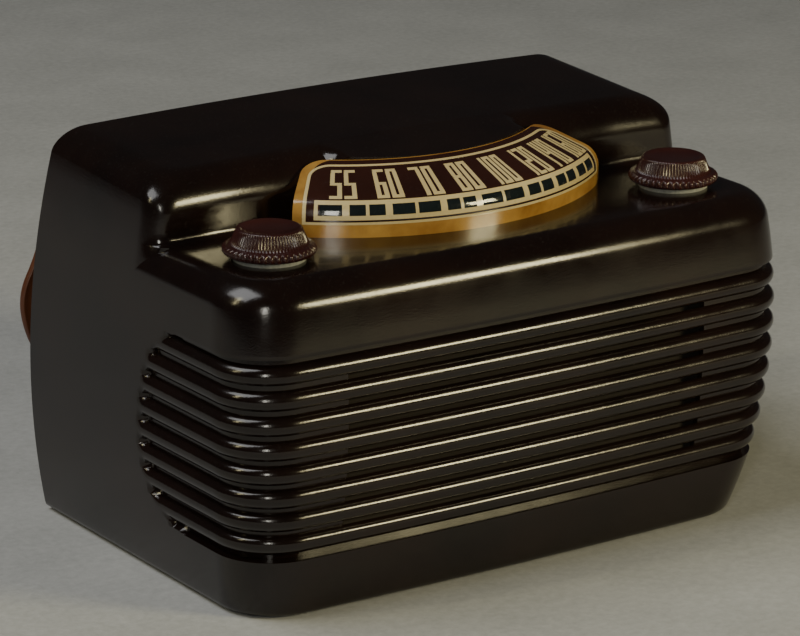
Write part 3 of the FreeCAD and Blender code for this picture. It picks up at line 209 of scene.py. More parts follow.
def metal(name, colour, rough, stretch=(1, 1, 12), scale=240.0, **extra):
    """Sheet or turned metal with drawn lines, dull patches and handling marks."""
    shader = Shader(name, Metallic=1.0, **extra)
    lines = shader.noise(scale, 4.0, stretch)
    patches = shader.noise(45.0, 4.0)
    worn = tuple(0.62 * c for c in colour)
    shader.colour(shader.blend(shader.spread(patches, 0.0, 0.8), rgba(colour), rgba(worn)))
    shader.roughness(shader.spread(shader.maths("MULTIPLY", lines, patches), *rough, 0.12, 0.45))
    shader.bump(lines, 0.00004)
    return shader.material


def woven(name, first, second, threads, rough=0.85, depth=0.00012, sheen=0.3):
    """Cloth: over-and-under threads in two directions, with uneven yarn."""
    shader = Shader(name, Sheen_Weight=sheen, Sheen_Roughness=0.5)
    across = shader.wave(threads, "X", 0.4)
    upward = shader.wave(threads, "Z", 0.4)
    weave = shader.maths("MAXIMUM", across, upward)
    yarn = shader.noise(threads * 2.0, 3.0)
    shader.colour(shader.blend(shader.maths("MULTIPLY", weave, yarn), rgba(first), rgba(second)))
    shader.roughness(shader.spread(yarn, rough - 0.1, rough + 0.1))
    shader.bump(weave, depth)
    return shader.material


def fibrous(name, dark, light, scale=420.0, rough=(0.6, 0.85), depth=0.00012, stretch=(1, 1, 1), **extra):
    """Felt, board, paper and rubber: short fibres and blotches."""
    shader = Shader(name, **extra)
    fibres = shader.noise(scale, 6.0, stretch, 0.7)
    blotches = shader.noise(scale / 14.0, 3.0)
    fine = shader.maths("MULTIPLY", fibres, 0.65)
    coarse = shader.maths("MULTIPLY", blotches, 0.35)
    mixed = shader.maths("ADD", fine, coarse)
    shader.colour(shader.blend(shader.spread(mixed, 0.0, 1.0, 0.35, 0.65), rgba(dark), rgba(light)))
    shader.roughness(shader.spread(fibres, *rough))
    shader.bump(fibres, depth)
    return shader.material


def wound(name, dark, light, turns, direction="Z", rough=0.5):
    """A winding of fine wire or string, one ridge to a turn."""
    shader = Shader(name)
    ridges = shader.wave(turns, direction, 0.15)
    stains = shader.noise(70.0, 4.0)
    base = shader.blend(ridges, rgba(dark), rgba(light))
    shader.colour(shader.blend(shader.spread(stains, 0.0, 0.5), base, rgba(dark)))
    shader.roughness(shader.spread(stains, rough - 0.12, rough + 0.12))
    shader.bump(ridges, 0.00015)
    return shader.material


def glassy(name, colour, alpha, rough=0.05, **extra):
    """Thin clear glass or plastic with a light haze."""
    shader = Shader(name, Coat_Weight=0.6, Coat_Roughness=0.03, **extra)
    haze = shader.noise(130.0, 3.0)
    tint = tuple(0.7 * c for c in colour)
    shader.colour(shader.blend(haze, rgba(colour), rgba(tint)))
    shader.put(shader.spread(haze, alpha - 0.05, alpha + 0.08), shader.surface.inputs["Alpha"])
    shader.roughness(shader.spread(haze, rough, rough + 0.08))
    shader.bump(haze, 0.00002)
    return shader.material


FINISHES = {
    "bakelite": lambda n: moulded(n, (0.0062, 0.0034, 0.0028), (0.0135, 0.0064, 0.0046), (0.13, 0.22), 0.12),
    "knob_plastic": lambda n: moulded(n, (0.026, 0.0070, 0.0064), (0.048, 0.014, 0.012), (0.16, 0.28), 0.2),
    "clear_lens": lambda n: moulded(n, (0.24, 0.10, 0.020), (0.52, 0.30, 0.075), (0.10, 0.20), 0.4,
                                mottle=55.0),
    "printed_scale": lambda n: moulded(n, (0.56, 0.44, 0.21), (0.70, 0.58, 0.32), (0.18, 0.32), 0.6),
    "grille_fabric": lambda n: woven(n, (0.010, 0.007, 0.005), (0.05, 0.035, 0.022), 320.0),
    "felt": lambda n: fibrous(n, (0.20, 0.21, 0.20), (0.42, 0.43, 0.40), 800.0, (0.8, 0.95), 0.0003),
    "rubber": lambda n: fibrous(n, (0.012, 0.010, 0.009), (0.03, 0.025, 0.022), 500.0, (0.45, 0.7), 0.00006),
    "fibreboard": lambda n: fibrous(n, (0.085, 0.045, 0.022), (0.19, 0.115, 0.06), 520.0,
                                (0.6, 0.85), 0.0002),
    "steel": lambda n: metal(n, (0.56, 0.56, 0.53), (0.28, 0.50)),
    "brass": lambda n: metal(n, (0.72, 0.52, 0.24), (0.22, 0.42)),
    "aluminium": lambda n: metal(n, (0.70, 0.70, 0.71), (0.25, 0.45)),
    "capacitor_steel": lambda n: metal(n, (0.60, 0.57, 0.46), (0.30, 0.50), (8, 1, 1)),
    "drum_metal": lambda n: metal(n, (0.66, 0.66, 0.66), (0.22, 0.40), (1, 1, 30)),
    "idler_plastic": lambda n: moulded(n, (0.42, 0.36, 0.26), (0.58, 0.52, 0.40), (0.35, 0.5)),
    "pointer_paint": lambda n: moulded(n, (0.72, 0.48, 0.40), (0.88, 0.70, 0.60), (0.3, 0.5)),
    "drive_string": lambda n: wound(n, (0.06, 0.045, 0.03), (0.22, 0.18, 0.12), 900.0, "X", 0.8),
    "lamp_glass": lambda n: glassy(n, (0.95, 0.90, 0.78), 0.4),
    "tube_glass": lambda n: glassy(n, (0.30, 0.33, 0.34), 0.45),
    "tube_metal": lambda n: fibrous(n, (0.012, 0.012, 0.012), (0.03, 0.03, 0.03), 700.0,
                                (0.35, 0.55), 0.00005),
    "socket_phenolic": lambda n: fibrous(n, (0.05, 0.025, 0.012), (0.11, 0.06, 0.03), 300.0,
                                stretch=(1, 6, 1)),
    "pot_case": lambda n: metal(n, (0.50, 0.50, 0.48), (0.30, 0.50), (1, 1, 20)),
    "coil_form": lambda n: wound(n, (0.16, 0.05, 0.02), (0.38, 0.15, 0.06), 260.0),
    "wax_paper": lambda n: fibrous(n, (0.38, 0.27, 0.10), (0.58, 0.44, 0.20), 160.0, (0.3, 0.5), 0.0001),
    "carbon": lambda n: fibrous(n, (0.12, 0.055, 0.03), (0.24, 0.12, 0.07), 500.0, (0.4, 0.6)),
    "cone_paper": lambda n: fibrous(n, (0.035, 0.032, 0.03), (0.09, 0.085, 0.08), 700.0, (0.8, 0.95), 0.0002),
    "magnet_paint": lambda n: fibrous(n, (0.09, 0.095, 0.10), (0.16, 0.165, 0.17), 600.0, (0.35, 0.5)),
    "core_iron": lambda n: wound(n, (0.035, 0.028, 0.022), (0.11, 0.09, 0.07), 420.0, "X", 0.45),
    "antenna_wire": lambda n: wound(n, (0.14, 0.05, 0.015), (0.36, 0.17, 0.06), 300.0),
    "cord_plastic": lambda n: moulded(n, (0.075, 0.020, 0.008), (0.16, 0.055, 0.022), (0.30, 0.45), 0.1),
    "plug_plastic": lambda n: moulded(n, (0.030, 0.012, 0.008), (0.06, 0.026, 0.016), (0.22, 0.36), 0.2),
}
MATERIALS = {}


def finish_of(slot):
    if slot not in MATERIALS:
        MATERIALS[slot] = FINISHES[slot](slot)
    return MATERIALS[slot]


def paint_frame():
    """Every CAD node takes the material of its own slot."""
    for part in frame["record"]["subparts"]:
        mesh = frame["nodes"][part["node"]].data
        mesh.materials.clear()
        mesh.materials.append(finish_of(part["material_slot"]))


# ---------------------------------------------------------------- mesh helpers

def mesh_piece(name, points, faces, slot, body=BODY, materials=None, indices=None):
    """A smooth mesh from points in millimetres, on a body and in a material slot."""
    mesh = bpy.data.meshes.new(name)
    mesh.from_pydata([tuple(c * MM for c in p) for p in points], [], faces)
    for material in materials or [finish_of(slot)]:
        mesh.materials.append(material)
    if indices:
        mesh.polygons.foreach_set("material_index", indices)
    item = bpy.data.objects.new(name, mesh)
    bpy.context.scene.collection.objects.link(item)
    clean(mesh)
    mesh.shade_smooth()
    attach(item, body)
    return item


def clean(mesh, distance=2e-6):
    """Weld coincident points and make all faces look outwards."""
    work = bmesh.new()
    work.from_mesh(mesh)
    bmesh.ops.remove_doubles(work, verts=work.verts, dist=distance)
    bmesh.ops.dissolve_degenerate(work, edges=work.edges, dist=1e-7)
    bmesh.ops.recalc_face_normals(work, faces=work.faces)
    work.to_mesh(mesh)
    work.free()


def grid_faces(rows, columns, closed=False, offset=0, skip=None):
    """Quads of a grid of points stored row by row."""
    faces = []
    for j in range(rows - 1):
        for i in range(columns if closed else columns - 1):
            if skip and skip(j, i):
                continue
            k = (i + 1) % columns
            a, b = offset + j * columns, offset + (j + 1) * columns
            faces.append((a + i, a + k, b + k, b + i))
    return faces


def thicken(item, wall, inwards=True):
    """Give an open shell its wall, and keep the result as plain mesh."""
    modifier = item.modifiers.new("wall", "SOLIDIFY")
    modifier.thickness = wall * MM
    modifier.offset = -1.0 if inwards else 1.0
    modifier.use_rim = True
    apply_modifiers(item)
    item.data.set_sharp_from_angle(angle=math.radians(50.0))


def apply_modifiers(item):
    graph = bpy.context.evaluated_depsgraph_get()
    result = bpy.data.meshes.new_from_object(item.evaluated_get(graph))
    old = item.data
    item.modifiers.clear()
    item.data = result
    bpy.data.meshes.remove(old)


def smoothstep(value, start, end):
    x = min(1.0, max(0.0, (value - start) / (end - start)))
    return x * x * (3 - 2 * x)


# ---------------------------------------------------------------- cabinet

def half_width(z):
    return HALF_WIDTH - SIDE_ROUND + math.sqrt(SIDE_ROUND ** 2 - (z - SIDE_MID) ** 2)


def front_y(z):
    return FRONT + FRONT_ROUND - math.sqrt(FRONT_ROUND ** 2 - (z - FRONT_MID) ** 2)


def rear_y(z):
    return REAR - REAR_LEAN * z


def slab_top(x, y):
    """The slab's top: it falls a little towards the brow and to both sides."""
    back_edge = REAR - REAR_LEAN * TOP
    return TOP - SLAB_SLOPE * (back_edge - y) - CROWN * (x / HALF_WIDTH) ** 2


def rolled(distance, radius):
    """How far a round edge draws in at a distance past its start."""
    reach = min(max(distance, 0.0), radius)
    return radius - math.sqrt(max(0.0, radius ** 2 - reach ** 2))


# Mesh columns across half of the sound slots and half of the brow
SLOT_COLUMNS, BROW_COLUMNS = 24, 40

# Where the grooves end on the side: (y, z) of a D, from the top down
GROOVE_END = [(-34.0, 105.5), (-25.6, 103.0), (-18.6, 98.5), (-13.7, 93.4), (-10.1, 87.4), (-5.6, 72.4),
              (-3.3, 55.8), (-4.2, 46.0), (-7.8, 36.9), (-13.4, 31.3), (-22.8, 26.4), (-40.0, 24.4)]


def groove_end(z):
    heights = [p[1] for p in reversed(GROOVE_END)]
    return float(np.interp(z, heights, [p[0] for p in reversed(GROOVE_END)]))


def groove_depth(z, y):
    """Depth of the ribbed field: half-round ribs with a flat-bottomed groove between them."""
    low = RIB_TOP - RIB_PITCH * (RIB_COUNT - 1)
    margin = RIB_PITCH / 2 + 1.6
    if not low - margin < z < RIB_TOP + margin:
        return 0.0
    index = min(RIB_COUNT - 1, max(0, round((RIB_TOP - z) / RIB_PITCH)))
    offset = abs(z - (RIB_TOP - RIB_PITCH * index))
    depth = min(VALLEY_DEPTH, rolled(offset, RIB_ROUND)) if offset < RIB_ROUND else VALLEY_DEPTH
    past = max(z - RIB_TOP, low - z) - RIB_PITCH / 2
    depth *= 1.0 - smoothstep(past, 0.9, 1.6)
    return depth * smoothstep(groove_end(z) - y, 0.0, 2.2)


def lower_rows():
    """Heights of the lower body's rows: close together across each rib and round the shelf edge."""
    across_rib = (3.86, 3.6, 3.25, 2.7, 2.1, 1.4, 0.7)
    steps = [-s for s in across_rib] + [0.0] + list(reversed(across_rib))
    rows = [1.0, 1.4, 2.2, 3.6, 8.0, 14.0, 19.0, 23.0, 24.8, 25.4, 25.7, 26.0]
    for k in reversed(range(RIB_COUNT)):
        rows += [RIB_TOP - RIB_PITCH * k + s for s in steps]
    rows += [104.3, 104.6, 104.9, 105.2, 106.5, 110.0, 114.0, 118.0]
    count = 12
    start = SHELF - SHELF_EDGE
    rows += [start + SHELF_EDGE * math.sin(math.pi / 2 * k / count) for k in range(count + 1)]
    return rows


def lower_outline(z):
    """Half of a level section, front centre to the rear: (x, y, outward x, outward y)."""
    inset = rolled(z - (SHELF - SHELF_EDGE), SHELF_EDGE) + rolled(RIM + 2.0 - z, 2.0)
    side, radius = half_width(z) - inset, CORNER - inset
    centre = front_y(z) + inset + FRONT_BOW
    angle = math.asin((side - radius) / (FRONT_BOW - radius))
    corner_y = centre - math.cos(angle) * (FRONT_BOW - radius)
    start_x = FRONT_BOW * math.sin(angle)
    end_columns, corner_columns = 5, 18
    across = [SLOT_HALF_LENGTH * k / SLOT_COLUMNS for k in range(SLOT_COLUMNS + 1)]
    across += [SLOT_HALF_LENGTH + (start_x - SLOT_HALF_LENGTH) * k / end_columns
               for k in range(1, end_columns + 1)]
    points = []
    for x in across:
        tilt = math.asin(x / FRONT_BOW)
        points.append((x, centre - FRONT_BOW * math.cos(tilt), math.sin(tilt), -math.cos(tilt)))
    for k in range(1, corner_columns + 1):
        turn = angle + (math.pi / 2 - angle) * k / corner_columns
        points.append((side - radius + radius * math.sin(turn), corner_y - radius * math.cos(turn),
                       math.sin(turn), -math.cos(turn)))
    fine_end = 0.0
    fine_columns, rear_columns = 46, 16
    for k in range(1, fine_columns + 1):
        points.append((side, corner_y + (fine_end - corner_y) * k / fine_columns, 1.0, 0.0))
    for k in range(1, rear_columns + 1):
        points.append((side, fine_end + (rear_y(z) - fine_end) * k / rear_columns, 1.0, 0.0))
    return points


def lower_body():
    """The lower body with its ribs and sound slots, from the base up to the shelf."""
    rows = lower_rows()
    points, half_count = [], len(lower_outline(RIM))
    for z in rows:
        half = []
        for x, y, out_x, out_y in lower_outline(z):
            depth = groove_depth(z, y)
            half.append((x - out_x * depth, y - out_y * depth, z))
        points += [(-x, y, z) for x, y, z in reversed(half[1:])] + half
    columns = 2 * half_count - 1
    middle = half_count - 1
    slot_rows = {}
    for j in range(len(rows) - 1):
        centre = (rows[j] + rows[j + 1]) / 2
        groove = (RIB_TOP + RIB_PITCH / 2 - centre) / RIB_PITCH
        at_groove = abs(groove - round(groove)) < 0.01 and 1 <= round(groove) <= RIB_COUNT - 1
        slot_rows[j] = at_groove and rows[j + 1] - rows[j] < 2.1 * SLOT_HALF_HEIGHT
    slab_start = SHELF - SHELF_EDGE

    def left_out(j, i):
        in_slot = slot_rows[j] and abs(i + 0.5 - middle) < SLOT_COLUMNS
        return in_slot or (rows[j] >= slab_start and points[j * columns + i][1] > BROW + BROW_CORNER + 1.0)

    faces = grid_faces(len(rows), columns, skip=left_out)
    last = (len(rows) - 1) * columns
    for i in range(middle):
        mirror = columns - 1 - i
        faces.append((i, i + 1, mirror - 1, mirror))
        if points[last + i][1] < BROW + WALL:
            faces.append((last + i, last + i + 1, last + mirror - 1, last + mirror))
    item = mesh_piece("cabinet_lower", points, faces, "bakelite")
    thicken(item, WALL)
    return item


def roll_height(turn):
    """Height of the rolled edge at a turn, deeper along the brow than along the sides."""
    fall = 1 - math.sin(turn)
    return lambda x, y, beside: slab_top(x, y) - fall * (SLAB_EDGE + (SIDE_ROLL - SLAB_EDGE) * beside)


def brow_bow(x):
    """The brow comes forward a little beside the dial lens."""
    start, depth = 98.0, 2.8
    run = 36.0
    return depth * (min(max(start - abs(x), 0.0), run) / run) ** 2


def slab_outline(height, inset, flare):
    """Half of the slab's plan, brow centre to the rear; height(x, y, beside) gives each point's z."""
    corner_columns, side_columns = 12, 40
    brow = BROW + inset
    reach = HALF_WIDTH - inset
    start_side = half_width(height(reach, brow, 0.0)) - inset
    plan = []
    for k in range(BROW_COLUMNS + 1):
        x = (start_side - BROW_CORNER) * k / BROW_COLUMNS
        plan.append((x, brow - flare - brow_bow(x) * (1 - inset / SLAB_EDGE), 0.0))
    for k in range(1, corner_columns + 1):
        turn, beside = math.pi / 2 * k / corner_columns, smoothstep(k, 0, corner_columns)
        y = brow + BROW_CORNER - (BROW_CORNER + flare * (1 - beside)) * math.cos(turn)
        side = half_width(height(reach, y, beside)) - inset
        plan.append((side - BROW_CORNER + BROW_CORNER * math.sin(turn), y, beside))
    start = brow + BROW_CORNER
    end = rear_y(height(reach, REAR - REAR_LEAN * TOP, 1.0))
    for k in range(1, side_columns + 1):
        y = start + (end - start) * k / side_columns
        plan.append((half_width(height(reach, y, 1.0)) - inset, y, 1.0))
    return [(x, y, height(x, y, beside)) for x, y, beside in plan]


def slab():
    """The high part behind the brow, with its nose, side rolls and rounded brow ends."""
    straight, layers = 137.0, []
    flared = [SHELF + rise for rise in (0.0, 0.3, 0.8, 1.5, BROW_FLARE)]
    for z in [SHELF - SHELF_EDGE, 126.0] + flared + [straight]:
        flare = rolled(SHELF + BROW_FLARE - z, BROW_FLARE) if z >= SHELF else BROW_FLARE
        layers.append((lambda x, y, beside, z=z: z, 0.0, flare))
    foot = roll_height(0.0)
    layers.append((lambda x, y, beside: (straight + foot(x, y, beside)) / 2, 0.0, 0.0))
    count = 16
    for k in range(count + 1):
        turn = math.pi / 2 * k / count
        layers.append((roll_height(turn), SLAB_EDGE * (1 - math.cos(turn)), 0.0))
    points, rows = [], 0
    for layer in layers:
        half = slab_outline(*layer)
        points += [(-x, y, z) for x, y, z in reversed(half[1:])] + half
        rows += 1
    columns = len(points) // rows
    faces = grid_faces(rows, columns)
    last = points[-columns:]
    middle = columns // 2
    cap_rows, offset = [], len(points)
    for i in range(middle - BROW_COLUMNS + 1):
        left, right = last[i], last[columns - 1 - i]
        row = []
        for k in range(2 * BROW_COLUMNS + 1):
            x = left[0] + (right[0] - left[0]) * k / (2 * BROW_COLUMNS)
            row.append((x, left[1], slab_top(x, left[1])))
        cap_rows.append(row)
    points += [p for row in cap_rows for p in row]
    faces += grid_faces(len(cap_rows), 2 * BROW_COLUMNS + 1, offset=offset)
    item = mesh_piece("cabinet_slab", points, faces, "bakelite")
    thicken(item, WALL)
    return item


def apron():
    """The slab's tongue that runs forward to the rear edge of the dial lens."""
    reach = LENS_INNER - 0.05
    start, end = BROW + SLAB_EDGE, DIAL_Y - LENS_INNER
    half = reach * math.sin(math.radians(LENS_HALF_ANGLE - 5.0))
    columns, rows, tuck, fade = 60, 24, 2.0, 8.0
    tip = LENS_TOP + 0.2
    points = []
    for j in range(rows + 1):
        for i in range(columns + 1):
            x = -half + 2 * half * i / columns
            near = DIAL_Y - math.sqrt(reach ** 2 - x ** 2)
            y = near + (start + tuck - near) * j / rows
            share = min(1.0, (start - y) / (start - end))
            plane = slab_top(x, start) * (1 - share) + tip * share if y < start else slab_top(x, y)
            nose = slab_top(x, y) - rolled(start - y, SLAB_EDGE)
            keep = 1 - smoothstep(abs(x), half - fade, half)
            sunk = 0.5 * smoothstep(y, start - 0.5, start + tuck) + 0.3 * (1 - keep)
            points.append((x, y, nose + (plane - nose) * keep - sunk))
    item = mesh_piece("cabinet_apron", points, grid_faces(rows + 1, columns + 1), "bakelite")
    thicken(item, 1.5)
    return item


# ---------------------------------------------------------------- dial

SLOPE_LENGTH = (LENS_OUTER - LENS_INNER - LENS_ROUND * math.tan((math.pi / 2 - LENS_SLOPE) / 2)
                * math.cos(LENS_SLOPE)) / math.cos(LENS_SLOPE)
ROUND_LENGTH = LENS_ROUND * (math.pi / 2 - LENS_SLOPE)


def lens_profile(along):
    """Radius, height and outward direction at a distance along the lens's section, rear to front."""
    if along <= SLOPE_LENGTH:
        radius = LENS_INNER + along * math.cos(LENS_SLOPE)
        return radius, LENS_TOP - along * math.sin(LENS_SLOPE), math.sin(LENS_SLOPE), math.cos(LENS_SLOPE)
    centre = LENS_OUTER - LENS_ROUND
    slope_end = LENS_TOP - SLOPE_LENGTH * math.sin(LENS_SLOPE)
    low = slope_end - LENS_ROUND * math.cos(LENS_SLOPE)
    turn = math.pi / 2 - LENS_SLOPE - (along - SLOPE_LENGTH) / LENS_ROUND
    if turn >= 0:
        return (centre + LENS_ROUND * math.cos(turn), low + LENS_ROUND * math.sin(turn),
                math.cos(turn), math.sin(turn))
    return LENS_OUTER, low - (along - SLOPE_LENGTH - ROUND_LENGTH), 1.0, 0.0


LENS_LENGTH = SLOPE_LENGTH + ROUND_LENGTH + lens_profile(SLOPE_LENGTH + ROUND_LENGTH)[1] - SHELF


def on_lens(along, degrees, lift=0.0):
    """A point on the lens, lifted off its surface."""
    radius, z, out, up = lens_profile(along)
    turn = math.radians(degrees)
    radius += out * lift
    return (radius * math.sin(turn), DIAL_Y - radius * math.cos(turn), z + up * lift)


# Bands of the print, as distances along the section and angles from the front
BORDER = (3.0, 4.1, 32.6, 33.6)
STRIP = (24.1, 25.9, 30.1, 31.8)
BORDER_ANGLE, BORDER_WIDTH, STRIP_ANGLE = 41.0, 0.75, 37.8
FIGURES = (6.4, 23.4)
# Numeral, angle of its tick and angle where it ends
NUMBERS = [("55", -32.0, -29.5), ("60", -23.0, -19.2), ("70", -11.1, -10.0), ("80", -2.8, 0.0),
           ("100", 9.8, 10.5), ("120", 19.4, 21.6), ("140", 28.5, 30.6), ("160", 38.5, 39.3)]
STROKES = {
    "0": "top bottom left right", "1": "centre", "2": "top upper_right middle lower_left bottom",
    "4": "upper_left middle right", "5": "top upper_left middle lower_right bottom",
    "6": "top left middle lower_right bottom", "7": "top right",
    "8": "top middle bottom left right",
}


def lens_end(along):
    """The lens narrows at its rear corners, which are rounded."""
    radius, corner = lens_profile(along)[0], 9.0
    cut_in = rolled(corner - along, corner) if along < corner else 0.0
    front = rolled(along - (LENS_LENGTH - 1.0), 1.0)
    return LENS_HALF_ANGLE - math.degrees((cut_in + front) / radius)


def lens_shell():
    """The curved lens: printed brown field, a window tinted near-black as painted shade of the dark inside
    behind it, and the amber moulding round them.
    """
    stops = [0.0, 0.4, 1.0, 2.0, BORDER[0], BORDER[1], 5.5, 7.0]
    stops += [7.0 + (SLOPE_LENGTH - 7.0) * k / 8 for k in range(1, 9)]
    stops += [22.5, 23.4, STRIP[0], 25.0, STRIP[1], 27.0, 28.1, 29.1, STRIP[2], 31.0, STRIP[3], 32.2]
    stops += [BORDER[2], BORDER[3], 35.0, 36.5, LENS_LENGTH - 0.5, LENS_LENGTH]
    inner_angle = BORDER_ANGLE - BORDER_WIDTH
    edges = [1.0, 0.985, 0.97]
    columns = 86
    points, indices = [], []
    for along in stops:
        end = lens_end(along)
        inner = inner_angle * min(1.0, end / LENS_HALF_ANGLE)
        angles = [-end * e for e in edges]
        angles += [-inner * (1 - 2 * k / columns) for k in range(columns + 1)]
        angles += [end * e for e in reversed(edges)]
        points += [on_lens(along, angle) for angle in angles]
    count = columns + 1 + 2 * len(edges)
    faces = grid_faces(len(stops), count)
    window_edge = STRIP_ANGLE / inner_angle
    for j in range(len(stops) - 1):
        middle = (stops[j] + stops[j + 1]) / 2
        for i in range(count - 1):
            share = abs((i + 0.5 - len(edges)) / columns * 2 - 1)
            inside = share <= 1.0 and len(edges) <= i < count - len(edges) - 1
            window = inside and STRIP[1] < middle < STRIP[2] and share < window_edge
            field = inside and 0.4 < middle < BORDER[3]
            indices.append(2 if window else 1 if field else 0)
    brown = moulded("dial_field", (0.018, 0.0070, 0.0055), (0.036, 0.012, 0.0085), (0.12, 0.22), 0.25)
    # The window's near-black tint, 62 per cent opaque, is painted shade. It stands for the dark inside seen
    # through the clear strip.
    window = glassy("dial_window_painted_shade", (0.020, 0.028, 0.032), 0.62)
    item = mesh_piece("dial_lens_shell", points, faces, "clear_lens",
                      materials=[finish_of("clear_lens"), brown, window], indices=indices)
    thicken(item, LENS_WALL)
    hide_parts("dial_lens")
    return item


PRINT_LIFT = 0.07


def patch(points, faces, along, angles):
    """Add a raised mark that follows the lens between two distances and two angles."""
    row_length, column_angle = 1.6, 1.2
    rows = max(1, math.ceil((along[1] - along[0]) / row_length))
    columns = max(1, math.ceil(abs(angles[1] - angles[0]) / column_angle))
    offset = len(points)
    for j in range(rows + 1):
        for i in range(columns + 1):
            points.append(on_lens(along[0] + (along[1] - along[0]) * j / rows,
                                  angles[0] + (angles[1] - angles[0]) * i / columns, PRINT_LIFT))
    faces += grid_faces(rows + 1, columns + 1, offset=offset)


def figure(points, faces, name, start, width, stroke):
    """One tall square numeral from its strokes."""
    top, bottom = FIGURES
    bar, middle = 1.5, (FIGURES[0] + FIGURES[1]) / 2
    end = start + width
    places = {
        "top": ((top, top + bar), (start, end)), "bottom": ((bottom - bar, bottom), (start, end)),
        "middle": ((middle - bar / 2, middle + bar / 2), (start, end)),
        "left": ((top, bottom), (start, start + stroke)), "right": ((top, bottom), (end - stroke, end)),
        "upper_left": ((top, middle), (start, start + stroke)),
        "lower_left": ((middle, bottom), (start, start + stroke)),
        "upper_right": ((top, middle), (end - stroke, end)),
        "lower_right": ((middle, bottom), (end - stroke, end)),
        "centre": ((top, bottom), (start, start + stroke)),
    }
    for part in STROKES[name].split():
        patch(points, faces, *places[part])


def dial_print():
    """The cream print: two borders, the scale's ticks and the numerals."""
    points, faces = [], []
    rear, rear_inner, front, front_outer = BORDER
    ends = (-BORDER_ANGLE, BORDER_ANGLE)
    turn, corner = 5.6, 7.4
    patch(points, faces, (rear, rear_inner), (ends[0] + turn, ends[1] - turn))
    patch(points, faces, (front, front_outer), ends)
    for sign in (-1, 1):
        side = (sign * BORDER_ANGLE, sign * (BORDER_ANGLE - BORDER_WIDTH))
        patch(points, faces, (rear + corner, front), side)
        corner_arc(points, faces, sign, rear, corner, turn)
        patch(points, faces, STRIP[0::3], (sign * (STRIP_ANGLE + 0.8), sign * STRIP_ANGLE))
    strip_ends = (-STRIP_ANGLE, STRIP_ANGLE)
    patch(points, faces, STRIP[:2], strip_ends)
    patch(points, faces, STRIP[2:], strip_ends)
    window = (STRIP[1], STRIP[2])
    wide, narrow = 0.75, 0.36
    places = [angle for _, angle, _ in NUMBERS]
    for angle in places[:-1]:
        patch(points, faces, window, (angle - wide, angle + wide))
    for first, second in zip(places, places[1:]):
        between = (first + second) / 2
        patch(points, faces, window, (between - narrow, between + narrow))
    for text, _, end in NUMBERS:
        width, stroke, gap, thin = (2.75, 1.05, 0.5, 1.05) if len(text) == 2 else (2.3, 0.85, 0.40, 0.9)
        widths = [thin if c == "1" else width for c in text]
        start = end - sum(widths) - gap * (len(text) - 1)
        for character, size in zip(text, widths):
            figure(points, faces, character, start, size, stroke)
            start += size + gap
    item = mesh_piece("dial_print", points, faces, "printed_scale")
    thicken(item, 0.06)
    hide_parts("dial_scale")


def corner_arc(points, faces, sign, rear, corner, turn):
    """The border's rounded rear corner."""
    steps, offset = 10, len(points)
    for k in range(steps + 1):
        swing = math.pi / 2 * k / steps
        for shrink in (0.0, 1.0):
            reach_along = corner - shrink * 1.1
            reach_angle = turn - shrink * BORDER_WIDTH
            points.append(on_lens(rear + corner - reach_along * math.sin(swing),
                                  sign * (BORDER_ANGLE - turn + reach_angle * math.cos(swing)), PRINT_LIFT))
    faces += grid_faces(steps + 1, 2, offset=offset)


# ---------------------------------------------------------------- knobs

# Outline of a knob: (height, radius, depth of the beads, depth of the fine ridges)
KNOB_PROFILE = [
    (0.0, 6.0, 0, 0), (0.0, 12.0, 0, 0), (0.0, 15.6, 0, 0), (0.4, 16.6, 0.2, 0), (0.9, 17.15, 0.7, 0),
    (1.5, 17.45, 1.0, 0), (2.1, 17.5, 1.1, 0), (2.7, 17.35, 1.0, 0), (3.2, 17.0, 0.7, 0), (3.6, 16.4, 0.2, 0),
    (3.8, 15.6, 0, 0), (3.9, 14.9, 0, 0.1), (4.2, 14.6, 0, 0.4), (5.2, 14.1, 0, 0.55), (6.4, 13.5, 0, 0.55),
    (7.6, 13.0, 0, 0.55), (8.6, 12.6, 0, 0.5), (9.3, 12.35, 0, 0.25), (9.75, 12.0, 0, 0), (10.0, 11.4, 0, 0),
    (9.95, 10.8, 0, 0), (9.5, 10.2, 0, 0), (9.0, 8.5, 0, 0), (8.7, 5.0, 0, 0), (8.6, 0.6, 0, 0),
]


def knob(node, x, body):
    """A maroon knob: ridged cap, beaded skirt and dished top."""
    beads, ridges, columns = 42, 72, 504
    points = []
    for z, radius, bead, ridge in KNOB_PROFILE:
        for k in range(columns):
            turn = 2 * math.pi * k / columns
            gap = bead * (1 - abs(math.cos(beads * turn / 2))) + ridge * (0.5 - 0.5 * math.cos(ridges * turn))
            reach = radius - gap
            points.append((x + reach * math.cos(turn), KNOB_Y + reach * math.sin(turn), KNOB_BASE + z))
    faces = grid_faces(len(KNOB_PROFILE), columns, closed=True)
    last = (len(KNOB_PROFILE) - 1) * columns
    faces += [tuple(last + k for k in range(columns)), tuple(reversed(range(columns)))]
    item = mesh_piece(node + "_moulding", points, faces, "knob_plastic", body)
    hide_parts(node)


# ---------------------------------------------------------------- mains cord

# The part's route, from the end of the strain relief to the coil: (x, y past the relief, z)
CORD_ROUTE = [
    (-96.0, 0.0, 130.0), (-96.0, 15.0, 130.0), (-95.5, 26.5, 120.5), (-95.0, 29.0, 105.7),
    (-98.5, 30.5, 91.5), (-105.5, 31.0, 78.0), (-103.0, 31.5, 63.0), (-94.5, 34.5, 49.0),
    (-84.0, 41.0, 33.0), (-69.5, 51.5, 16.5), (-48.0, 64.0, 4.8), (-22.0, 75.0, 4.0),
]
# The coil's turns: (radius, height), outside to inside and back out on top
COIL_TURNS = [(39.2, 3.2), (33.6, 3.0), (27.8, 3.1), (22.6, 3.4), (24.8, 8.8), (30.4, 8.9), (36.0, 9.0),
              (33.2, 14.2), (28.2, 14.3)]


